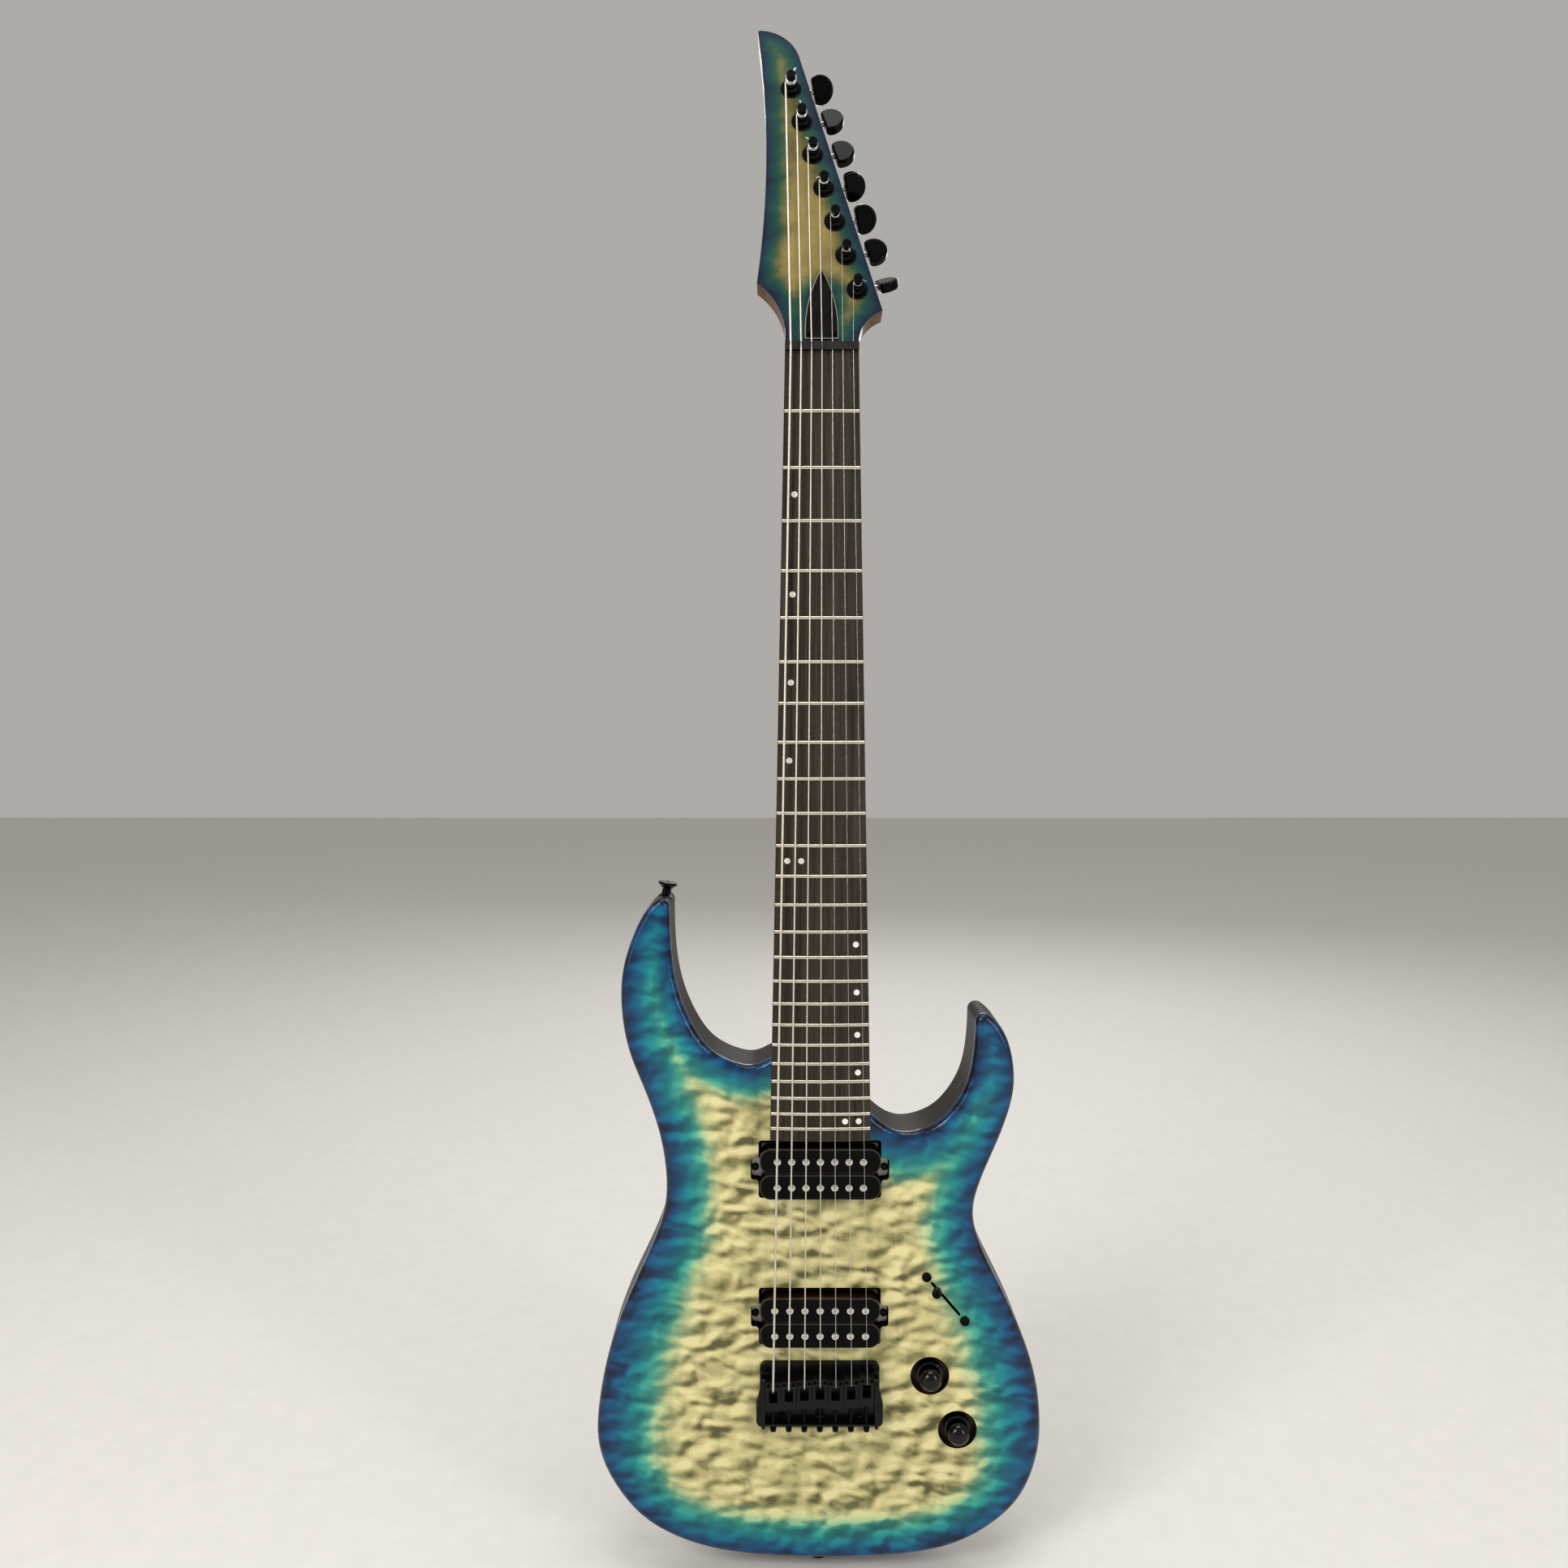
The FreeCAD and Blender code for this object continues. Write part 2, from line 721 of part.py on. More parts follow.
def board_and_dots():
    blank = board_blank()
    pins = [Part.makeCylinder(
        size["dot_diameter"] / 2, size["dot_depth"] + 2, Vector(x, up, board_top - size["dot_depth"] - 0.1))
        for x, up in dot_places()]
    dots = [pin.common(blank) for pin in pins]
    slot = size["tang_width"] + 2 * size["slot_clearance"]
    floor = size["tang_depth"] + 0.1
    slots = [tube_solid(size["board_radius"] + 1, size["board_radius"] - floor,
                        Vector(0, up - slot / 2, crown_axis_out), slot,
                            Vector(0, 1, 0)) for up in fret_lines()]
    near = Part.makeBox(100, nut_line - neck_end, 20, Vector(-50, neck_end, board_seat))
    slots = [ring.common(near) for ring in slots]
    return blank.cut(pins + slots), Part.makeCompound(dots)


def nut_shape():
    """The nut: a block on the neck's shelf with a slot for each string."""
    half = half_board(nut_line)
    top = string_bottom_nut + size["nut_slot_depth"]
    seat = Vector(-half, nut_line + 0.05, board_seat)
    block = Part.makeBox(2 * half, size["nut_length"] - 0.05, top - board_seat, seat)
    for k, x in enumerate(string_xs_nut):
        radius = string_diameters[k] / 2 + 0.05
        level = string_bottom_nut + string_diameters[k] / 2
        groove = Part.makeCylinder(radius, 30, Vector(x, nut_line - 10, level), Vector(0, 1, 0))
        mouth = Part.makeBox(2 * radius, 30, 6, Vector(x - radius, nut_line - 10, level))
        fall = groove.fuse(mouth)
        fall.rotate(Vector(x, nut_line + 1.5, level), Vector(1, 0, 0), -size["head_angle"])
        block = block.cut([groove.fuse(mouth), fall])
    return block


# ---------------------------------------------------------------- cavities in the body

pickup_centres = {
    "neck": neck_end - size["neck_pickup_drop"],
    "bridge": size["saddle_line"] + size["bridge_pickup_rise"],
}
pickup_half_height = size["pickup_gap"] / 2 + size["coil_width"] / 2
bobbin_top = face + size["pickup_stand"]
bobbin_base = bobbin_top - size["bobbin_height"]
pickup_plate_top = bobbin_base - size["magnet_thickness"]
pickup_plate_base = pickup_plate_top - size["plate_thickness"]
route_floor = face - size["route_depth"]
route_side_gap = 1.0
ear_reach = size["pickup_length"] / 2 + size["route_ear_length"]
mount_reach = size["pickup_length"] / 2 + size["mount_screw_gap"]

volume_up = size["saddle_line"] - size["volume_rise"]
tone_up = size["saddle_line"] - size["tone_rise"]
switch_up = size["saddle_line"] + size["switch_rise"]
pot_places = [(size["volume_x"], volume_up), (size["tone_x"], tone_up)]
recess_floor = face - size["recess_depth"]
ceiling = face - size["cavity_ceiling"]
switch_ceiling = face - 7.5
switch_frame = at(size["switch_x"], switch_up, 0, Rotation(Vector(0, 0, 1), 90 - size["switch_angle"]))
cavity_corners = [
    (58, switch_up + 26), (80, switch_up + 26), (119, switch_up - 22), (119, tone_up - 14),
    (106, tone_up - 22), (80, tone_up - 18), (58, volume_up - 11),
]
jack_seat = edge_x(size["jack_height"]) - size["jack_recess"]

heel_bolts = [(-20, neck_end + 10), (20, neck_end + 11), (-20, neck_end + 38), (13, neck_end + 32)]

horn_seat = on_body(-106.8, 463.0)
horn_direction = Vector(math.sin(math.radians(10)), math.cos(math.radians(10)), 0)
end_direction = Vector(0, -1, 0)
outer_screw_x = size["string_spread_bridge"] / 2 + 5.4
bridge_screw_places = [(x, bridge_front - 4.6) for x in (-outer_screw_x, outer_screw_x)]
bridge_screw_places += [(k * saddle_pitch, bridge_rear + 11.0) for k in (-2.5, 0, 2.5)]
belly_radius = 300.0
belly_depth = 16.0


def route(centre, low):
    """The routed hole of one pickup, with an ear at each end for its mounting screw."""
    half = size["pickup_length"] / 2 + route_side_gap
    ear = ear_reach
    tall = pickup_half_height + size["route_gap"]
    ear_tall = size["route_ear_height"] / 2
    quarter = [(half, tall), (half, ear_tall), (ear, ear_tall)]
    corners = [(x, centre + up) for x, up in quarter]
    corners += [(x, centre - up) for x, up in reversed(quarter)]
    corners += [(-x, centre - up) for x, up in quarter]
    corners += [(-x, centre + up) for x, up in reversed(quarter)]
    return rounded_polygon(corners, 2.2, low).extrude(Vector(0, 0, face + 1 - low))


def upright_hole(x, up, diameter, low, high):
    return Part.makeCylinder(diameter / 2, high - low, Vector(x, up, low))


def switch_box(length, width, low, high):
    """A box on the switch's own axes, in the face frame."""
    shape = Part.makeBox(width, length, high - low, Vector(-width / 2, -length / 2, low))
    return in_face(shape, switch_frame)


def slot_shape(length, width, low, high):
    """A slot with round ends along the switch's line."""
    straight = length - width
    middle = Part.makeBox(width, straight, high - low, Vector(-width / 2, -straight / 2, low))
    ends = [Part.makeCylinder(width / 2, high - low, Vector(0, side * straight / 2, low)) for side in (-1,
        1)]
    return in_face(middle.fuse(ends), switch_frame)


def cavity_face(offset, out):
    face_shape = rounded_polygon(cavity_corners, 7.0, out)
    return face_shape.makeOffset2D(offset) if offset else face_shape


switch_screw_places = [
    switch_frame.multVec(Vector(0, side * size["switch_screw_spacing"] / 2, 0)) for side in (-1, 1)]


def cover_screw_places():
    ring = cavity_face(size["cover_ledge"] / 2 - size["cover_clearance"], 0).OuterWire
    return ring.discretize(7)[:-1]


def body_cuts():
    """Everything that is routed or drilled out of the body, in the face frame."""
    cuts = [heel_pocket()]
    cuts += [route(centre, route_floor) for centre in pickup_centres.values()]
    for centre in pickup_centres.values():
        for side in (-1, 1):
            cuts.append(upright_hole(side * mount_reach, centre, 3.1, route_floor - 11, face))
    for x, up in pot_places:
        cuts.append(upright_hole(x, up, size["recess_diameter"], recess_floor, face + 1))
        cuts.append(upright_hole(x, up, size["pot_thread"] + 0.2, ceiling - 1, face))
    cuts.append(slot_shape(size["switch_slot_length"], size["switch_slot_width"], 0, face + 1))
    cuts.append(switch_box(64, 22, ceiling - 1, switch_ceiling))
    for place in switch_screw_places:
        cuts.append(upright_hole(place.x, place.z, 3.4, 0, face + 1))
    cuts.append(cavity_face(0, back - 1).extrude(Vector(0, 0, ceiling - back + 1)))
    cuts.append(cavity_face(size["cover_ledge"], back - 1).extrude(Vector(0, 0, size[
        "cover_thickness"] + 1)))
    for place in cover_screw_places():
        cuts.append(upright_hole(place.x, place.y, 2.3, back, back + 12))
    for x in string_xs_bridge:
        cuts.append(upright_hole(x, string_hole_line, size["string_hole"], back - 1, face + 1))
        cuts.append(upright_hole(
            x, string_hole_line, size["ferrule_diameter"] + 0.1, back - 1,
                back + size["ferrule_depth"] + 0.05))
    for x, up in bridge_screw_places:
        cuts.append(upright_hole(x, up, 3.4, face - 20, face + 1))
    for x, up in heel_bolts:
        cuts.append(upright_hole(x, up, size["bolt_diameter"] + 0.4, back - 1, face))
        cuts.append(upright_hole(x, up, size["ring_diameter"] + 0.2, back - 1, back + size["ring_depth"]))
    sideways = Vector(1, 0, 0)
    mouth = Vector(jack_seat, size["jack_height"], 0)
    cuts.append(Part.makeCylinder(size["jack_flange"] / 2 + 0.3, 12, mouth, sideways))
    inner = Vector(112, size["jack_height"], 0)
    cuts.append(Part.makeCylinder(size["jack_barrel"] / 2 + 0.15, jack_seat - inner.x + 1, inner, sideways))
    for seat, direction, reach in ((Vector(0, 0, 0), end_direction, 6.0), (horn_seat, horn_direction, 8.0)):
        cuts.append(Part.makeCylinder(size["pin_flange"] / 2 + reach - 6, 6, seat, direction))
        cuts.append(Part.makeCylinder(
            size["pin_screw"] / 2 + 0.05, size["pin_screw_length"], seat - direction * 20, direction))
    return cuts


def belly_cut():
    up = neck_end - 40
    return Part.makeSphere(belly_radius, Vector(-155, up, back - belly_radius + belly_depth))


cuts = body_cuts()
cap = rounded_slab(cap_seam, face, face, min(size["edge_round"], size["cap_depth"] - 0.5)).cut(cuts)
core = rounded_slab(back, cap_seam, back, size["back_round"]).cut(cuts + [belly_cut()])
keep(feature("body_top", cap))
keep(feature("body_core", core))

# ---------------------------------------------------------------- neck pieces

bolt_tip = back + size["ring_depth"] - 0.6 + size["bolt_length"]
neck_holes = [upright_hole(x, up, size["bolt_diameter"] + 0.1, 0, bolt_tip + 1) for x, up in heel_bolts]
tuner_screw_place = (-7.0, housing_low + 2.4)
tuner_screw_holes = [in_face(Part.makeCylinder(
    0.85, 8, Vector(*tuner_screw_place, -head_back - 0.5)), frame) for frame in tuner_frames]
keep(feature("neck", neck_shape().cut(neck_holes + tuner_screw_holes)))

board, dots = board_and_dots()
keep(feature("fingerboard", board))
keep(feature("fret_markers", dots))
keep(feature("frets", Part.makeCompound([fret_shape(up) for up in fret_lines()])))
keep(feature("nut", nut_shape()))

veneer_cuts = [Part.makeCylinder(size["bushing_sleeve"] / 2 + 0.1, 4,
    place - Vector(0, 0, 2)) for place in post_places]
veneer_cuts += [rod_cavity()] + cover_screw_holes()
veneer = head_slab(-size["veneer_thickness"], 0).cut(veneer_cuts)
keep(feature("headstock_face", veneer, head_frame))

rod_bar = rod_channel(0)
adjuster = Part.makeCylinder(3.2, 12, Vector(0, nut_line + 9, board_seat - 5.2), Vector(0, 1, 0))
adjuster = adjuster.cut(Part.makeCylinder(1.6, 6, Vector(0, nut_line + 15.5, board_seat - 5.2),
    Vector(0, 1, 0)))
neck_of_rod = Part.makeCylinder(2.2, 6, Vector(0, nut_line + 3.5, board_seat - 5.2), Vector(0, 1, 0))
keep(feature("truss_rod", rod_bar.fuse([neck_of_rod, adjuster]).removeSplitter()))


def cover_shape():
    """The bullet-shaped cover over the rod's adjuster, with a bevelled rim."""
    half = cover_width / 2
    tip = Vector(0, cover_start + cover_length, 0)
    left, right = Vector(-half, cover_start, 0), Vector(half, cover_start, 0)
    middle = cover_start + 0.46 * cover_length
    outline_wire = Part.Wire([
        Part.Arc(right, Vector(0.87 * half, middle, 0), tip).toShape(),
        Part.Arc(tip, Vector(-0.87 * half, middle, 0), left).toShape(),
        Part.LineSegment(left, right).toShape(),
    ])
    plate = Part.Face(outline_wire).extrude(Vector(0, 0, 1.6))
    rim = [edge for edge in plate.Edges if edge.BoundBox.ZMin > 1.59]
    plate = plate.makeChamfer(0.5, rim)
    holes = [Part.makeCylinder(0.85, 4, Vector(x, along, -1)) for x, along in cover_screws]
    return plate.cut(holes)


keep(feature("truss_rod_cover", cover_shape(), head_frame))

# ---------------------------------------------------------------- tuners


def wheel_shape():
    """The wheel on a post, with one tooth pointing at the worm."""
    tip = wheel_radius + size["tooth_height"]
    root = wheel_radius - size["tooth_height"] - 0.3
    half = size["tooth_width"] / 2
    points = []
    for tooth in range(int(size["wheel_teeth"])):
        turn = Rotation(Vector(0, 0, 1), 90 + tooth * 360 / size["wheel_teeth"])
        for radius, side in ((root, -1.6 * half), (tip, -0.7 * half), (tip, 0.7 * half), (root, 1.6 * half)):
            points.append(turn.multVec(Vector(radius, side, 0)))
    disc = Part.Face(Part.makePolygon(points + points[:1])).extrude(Vector(0, 0, size["wheel_thickness"]))
    disc.translate(Vector(0, 0, -size["wheel_depth"] - size["wheel_thickness"] / 2))
    return disc.cut(Part.makeCylinder(2.02, 20, Vector(0, 0, -size["wheel_depth"] - 10)))


def worm_thread():
    """Five turns of thread, crossing the wheel's side half a pitch from the middle tooth."""
    height = 5 * size["worm_pitch"]
    inner = size["worm_radius"] - size["tooth_height"] - 0.25
    outer = size["worm_radius"] + size["tooth_height"]
    helix = Part.makeHelix(size["worm_pitch"], height, inner)
    wide, narrow = 0.8 * size["tooth_width"], 0.35 * size["tooth_width"]
    corners = [Vector(inner - 0.2, 0, -wide), Vector(outer, 0, -narrow), Vector(outer, 0, narrow),
               Vector(inner - 0.2, 0, wide)]
    profile = Part.Wire(Part.makePolygon(corners + corners[:1]))
    thread = Part.Wire(helix).makePipeShell([profile], True, True)
    thread.translate(Vector(0, 0, -height / 2))
    return thread


worm_frame = Placement(
    Vector(0, worm_offset, -size["wheel_depth"]),
    Rotation(Vector(0, -1, 0), Vector(0, 0, -1), Vector(1, 0, 0), "ZXY"),
)
worm_half = 6.5
housing_bore_half = 7.5
housing_end = 13.0


def button_shape():
    """A half-moon button, flat toward the stem, around the key's axis."""
    half = size["button_height"] / 2
    reach = size["button_length"]
    thick = size["button_thickness"]
    base = -thick / 2
    lower, upper = Vector(0, -0.93 * half, base), Vector(0, 0.93 * half, base)
    wire = Part.Wire([
        Part.Arc(lower, Vector(reach, 0, base), upper).toShape(),
        Part.LineSegment(upper, lower).toShape(),
    ])
    blank = Part.Face(wire).extrude(Vector(0, 0, thick))
    corners = [edge for edge in blank.Edges if edge.BoundBox.ZLength > 1]
    blank = blank.makeFillet(2.6, corners)
    rims = [edge for edge in blank.Edges if edge.BoundBox.ZLength < 0.01]
    blank = blank.makeFillet(1.5, rims)
    blank.translate(Vector(size["key_reach"], 0, 0))
    return blank


button_rest_angles = (37, -13, -10, 50, 37, -8, -50)


def key_shape(rest_angle):
    """One tuning key on its axis: stub, worm, shaft and button, turned to where it rests."""
    axis = Vector(1, 0, 0)
    core_radius = size["worm_radius"] - size["tooth_height"] - 0.1
    stub = Part.makeCylinder(1.5, 2.6, Vector(-worm_half - 2.3, 0, 0), axis)
    core_rod = Part.makeCylinder(core_radius, 2 * worm_half, Vector(-worm_half, 0, 0), axis)
    shaft = Part.makeCylinder(size["key_shaft"] / 2, size["key_reach"] + 1 - worm_half,
        Vector(worm_half, 0, 0), axis)
    collar = Part.makeCylinder(3.1, 1.6, Vector(housing_end + 0.3, 0, 0), axis)
    thread = worm_thread()
    thread.Placement = Placement(Vector(0, 0, 0), worm_frame.Rotation).multiply(thread.Placement)
    steel = core_rod.fuse([stub, shaft, collar, thread])
    button = button_shape()
    button.rotate(Vector(0, 0, 0), axis, rest_angle)
    hole = Part.makeCylinder(size["key_shaft"] / 2, 2, Vector(size["key_reach"] - 1, 0, 0), axis)
    return Part.makeCompound([steel, button.cut(hole)])


for index, frame in enumerate(tuner_frames):
    axis_frame = frame.multiply(Placement(worm_frame.Base, Rotation()))
    keep(feature("tuner_key_%d" % (index + 1), key_shape(button_rest_angles[index]), axis_frame))


def housing_shape():
    """The closed housing behind the headstock, hollow for the wheel and the worm."""
    low = -head_back - size["housing_depth"]
    body_block = Part.makeBox(housing_end + 9.5, housing_high - housing_low, size["housing_depth"],
                              Vector(-9.5, housing_low, low))
    outer = [edge for edge in body_block.Edges
             if edge.BoundBox.ZLength > 5 or edge.BoundBox.ZMax < low + 0.01]
    body_block = body_block.makeFillet(1.5, outer)
    wheel_room = Part.makeCylinder(wheel_radius + 1.2, size["housing_depth"] - 1.6, Vector(0, 0, low + 1.6))
    axis = Vector(1, 0, 0)
    centre = worm_frame.Base
    worm_room = Part.makeCylinder(
        size["worm_radius"] + 1.1, 2 * housing_bore_half, centre - axis * housing_bore_half, axis)
    blind = Part.makeCylinder(1.55, 1.6, centre - axis * (housing_bore_half + 1.5), axis)
    bearing = Part.makeCylinder(size["key_shaft"] / 2 + 0.05, 8, centre + axis * (housing_bore_half - 0.5),
        axis)
    foot = Part.makeCylinder(1.55, 3, Vector(0, 0, low + 0.5))
    screw = Part.makeCylinder(0.95, 20, Vector(*tuner_screw_place, low - 1))
    return body_block.cut([wheel_room, worm_room, blind, bearing, foot, screw])


housing = feature("housing_pattern", housing_shape(), Placement())
keep(copies("tuner_housings", housing, tuner_frames))

bushing = turned("bushing_pattern", [
    ("post_diameter / 2 + running_clearance", "-head_thickness + 0.1"),
    ("bushing_sleeve / 2", "-head_thickness + 0.1"),
    ("bushing_sleeve / 2", "0"),
    ("bushing_diameter / 2", "0"),
    ("bushing_diameter / 2", "0.7"),
    ("bushing_diameter / 2 - 0.6", "1.3"),
    ("bushing_collar / 2", "1.3"),
    ("bushing_collar / 2", "bushing_height - 1"),
    ("bushing_collar / 2 - 1", "bushing_height"),
    ("post_diameter / 2 + running_clearance", "bushing_height"),
])
keep(copies("tuner_bushings", bushing, tuner_frames))

post = turned("post_pattern", [
    ("0", "-head_thickness - housing_depth + 0.8"),
    ("1.5", "-head_thickness - housing_depth + 0.8"),
    ("1.5", "-wheel_depth - wheel_thickness / 2 - 0.3"),
    ("2", "-wheel_depth - wheel_thickness / 2 - 0.3"),
    ("2", "-wheel_depth + wheel_thickness / 2"),
    ("post_diameter / 2", "-wheel_depth + wheel_thickness / 2"),
    ("post_diameter / 2", "bushing_height + 0.4"),
    ("post_waist / 2", "bushing_height + 1"),
    ("post_waist / 2", "post_height - 3.4"),
    ("post_diameter / 2", "post_height - 2.9"),
    ("post_diameter / 2", "post_height - 0.5"),
    ("post_diameter / 2 - 0.5", "post_height"),
    ("0", "post_height"),
])


def wraps(diameter):
    """The turns of string on a post, as closed rings one above the other, and the cut end."""
    turns = 2 if diameter > 1.0 else 3
    radius = size["post_waist"] / 2 + diameter / 2
    rings = [Part.makeTorus(radius, diameter / 2 - 0.01, Vector(0, 0, size["wrap_height"] + diameter * k))
             for k in range(turns)]
    tail_height = size["post_height"] - 1.6
    tail = Part.makeCylinder(diameter / 2, 3.2, Vector(size["post_diameter"] / 2 - 0.6, 0, tail_height),
        Vector(1, 0, 0))
    return rings, tail


document.recompute()
for index, frame in enumerate(tuner_frames):
    diameter = string_diameters[index]
    rings, tail = wraps(diameter)
    tail.rotate(Vector(0, 0, 0), Vector(0, 0, 1), 40 + 47 * index)
    turned_post = post.Shape.cut(tail)
    solids = [turned_post, wheel_shape(), tail] + rings
    keep(feature("tuner_post_%d" % (index + 1), Part.makeCompound(solids), frame))

# ---------------------------------------------------------------- strings


def bent_path(points, radii):
    """Straight runs joined by tangent arcs, with one radius for each inner point."""
    edges = []
    start = points[0]
    for k, radius in enumerate(radii, start=1):
        corner = points[k]
        inward = (points[k - 1] - corner).normalize()
        outward = (points[k + 1] - corner).normalize()
        half_turn = (math.pi - inward.getAngle(outward)) / 2
        reach = radius * math.tan(half_turn)
        middle = corner + (inward + outward).normalize() * (radius / math.cos(half_turn) - radius)
        edges.append(Part.LineSegment(start, corner + inward * reach).toShape())
        edges.append(Part.Arc(corner + inward * reach, middle, corner + outward * reach).toShape())
        start = corner + outward * reach
    edges.append(Part.LineSegment(start, points[-1]).toShape())
    return Part.Wire(edges)


def swept(path, diameter):
    """A round rod along a path."""
    first = path.Edges[0]
    start = first.valueAt(first.FirstParameter)
    direction = first.tangentAt(first.FirstParameter)
    ring = Part.Wire(Part.makeCircle(diameter / 2, start, direction))
    return path.makePipeShell([ring], True, False)


def saddle_corner(crest_up, diameter):
    """Where the played length meets the steep run into the body, over the saddle's round crest."""
    reach = size["saddle_crest"] + size["string_clearance"] + diameter / 2
    centre_up, centre_out = crest_up, crest_top - size["saddle_crest"]
    rise = centre_out - face
    run = centre_up - string_hole_line
    slope = math.atan2(rise, run) + math.asin(reach / math.hypot(rise, run))
    level = crest_top + size["string_clearance"] + diameter / 2
    return string_hole_line + (level - face) / math.tan(slope), level, reach


def string_shape(k):
    """One string from its ball end in the back, over saddle and nut, to its post."""
    diameter = string_diameters[k]
    corner_up, level, crest_radius = saddle_corner(crest_lines[k], diameter)
    x_bridge, x_nut = string_xs_bridge[k], string_xs_nut[k]
    ball_out = back + 2.6
    nut_point = Vector(x_nut, nut_line + 1.5, string_bottom_nut + diameter / 2)
    to_post = upright.inverse().multiply(tuner_frames[k])
    straight_in = to_post.inverse().multVec(nut_point)
    ring_height = size["wrap_height"] - diameter - size["string_clearance"]
    radius = size["post_waist"] / 2 + size["string_clearance"] + diameter / 2
    distance = math.hypot(straight_in.x, straight_in.y)
    heading = math.atan2(-straight_in.y, -straight_in.x)
    swing = math.asin(radius / distance)
    side = heading + math.pi / 2 + swing
    touch = Vector(radius * math.cos(side), radius * math.sin(side), ring_height)
    points = [
        Vector(x_bridge, string_hole_line, ball_out),
        Vector(x_bridge, string_hole_line, face),
        Vector(x_bridge, corner_up, level),
        nut_point,
        to_post.multVec(touch),
    ]
    rod = swept(bent_path(points, [3.0, crest_radius, 5.0]), diameter)
    ball = Part.makeCylinder(1.9, 4.4, Vector(x_bridge, string_hole_line, ball_out - 2.2))
    return rod.fuse(ball)


keep(feature("wound_strings", Part.makeCompound([string_shape(k) for k in range(4)])))
keep(feature("plain_strings", Part.makeCompound([string_shape(k) for k in range(4, string_count)])))

ferrule = turned("ferrule_pattern", [
    ("1", "0.6"),
    ("ferrule_diameter / 2", "0.6"),
    ("ferrule_diameter / 2", "ferrule_depth"),
    ("1", "ferrule_depth"),
])
ferrule_bore = cylinder("ferrule_bore", ("0", "0", "-1"), "4.2", "6")
ferrule_tube = cut("ferrule_tube", ferrule, [ferrule_bore])
keep(copies("string_ferrules", ferrule_tube, [at(x, string_hole_line, back) for x in string_xs_bridge]))

# ---------------------------------------------------------------- pickups


def rounded_bar(length, width, radius, low, high):
    half, tall = length / 2, width / 2
    corners = [(half, tall), (-half, tall), (-half, -tall), (half, -tall)]
    return rounded_polygon(corners, radius, low).extrude(Vector(0, 0, high - low))


core_length = size["pickup_length"] - 11.0
core_width = 6.0


def bobbin_shape(pole_pitch):
    """A bobbin with its flanges, a bevelled top and a hole for each pole screw."""
    flange = size["bobbin_flange"]
    corner = size["bobbin_corner"]
    height = size["bobbin_height"]
    upper = rounded_bar(size["pickup_length"], size["coil_width"], corner, height - flange, height)
    rim = [edge for edge in upper.Edges if edge.BoundBox.ZMin > height - 0.01]
    upper = upper.makeChamfer(size["bobbin_bevel"], rim)
    lower = rounded_bar(size["pickup_length"], size["coil_width"], corner, 0, flange)
    middle = rounded_bar(core_length, core_width, 2.9, flange, height - flange)
    body = upper.fuse([lower, middle])
    holes = []
    for k in range(string_count):
        x = (k - (string_count - 1) / 2) * pole_pitch
        holes.append(Part.makeCylinder(1.45, 40, Vector(x, 0, -20)))
        holes.append(Part.makeCylinder(size["pole_diameter"] / 2 + 0.1, 3, Vector(x, 0, height - 0.8)))
    return body.cut(holes)


def coil_shape():
    flange = size["bobbin_flange"]
    inset = size["coil_inset"]
    low, high = flange + 0.02, size["bobbin_height"] - flange - 0.02
    wound = rounded_bar(
        size["pickup_length"] - 2 * inset, size["coil_width"] - 2 * inset, size["bobbin_corner"] - inset,
            low, high)
    return wound.cut(rounded_bar(core_length + 0.04, core_width + 0.04, 2.92, low - 1, high + 1))


def pole_screw_shape():
    """A dome-headed screw with a cross recess."""
    head = size["pole_diameter"] / 2
    dome = Part.makeSphere(6.0, Vector(0, 0, -5.1)).common(Part.makeCylinder(head, 1.6, Vector(0, 0, -0.75)))
    shank = Part.makeCylinder(1.4, 18.4, Vector(0, 0, -19))
    slots = [Part.makeBox(2.8, 0.6, 2, Vector(-1.4, -0.3, -0.05)),
        Part.makeBox(0.6, 2.8, 2, Vector(-0.3, -1.4, -0.05))]
    return dome.fuse(shank).cut(slots)


def row_offsets():
    return (-size["pickup_gap"] / 2, size["pickup_gap"] / 2)


pole_pitches = {"neck": size["neck_pole_pitch"], "bridge": size["bridge_pole_pitch"]}
pole_places = []
coil_places = []
for name, centre in pickup_centres.items():
    rows = [at(0, centre + offset, bobbin_base) for offset in row_offsets()]
    coil_places += rows
    pattern = feature(name + "_bobbin_pattern", bobbin_shape(pole_pitches[name]), Placement())
    keep(copies(name + "_pickup_bobbins", pattern, rows))
    for offset in row_offsets():
        for k in range(string_count):
            x = (k - (string_count - 1) / 2) * pole_pitches[name]
            pole_places.append(at(x, centre + offset, bobbin_top))
keep(copies("pickup_coils", feature("coil_pattern", coil_shape(), Placement()), coil_places))
keep(copies("pole_screws", feature("pole_screw_pattern", pole_screw_shape(), Placement()), pole_places))

magnet = box(
    "magnet_pattern", ("8 - pickup_length / 2", "-(pickup_gap - 3.2) / 2", "0"),
    ("pickup_length - 16", "pickup_gap - 3.2", "magnet_thickness"))
keep(copies("pickup_magnets", magnet, [at(0, centre, pickup_plate_top) for centre in pickup_centres.values(
    )]))


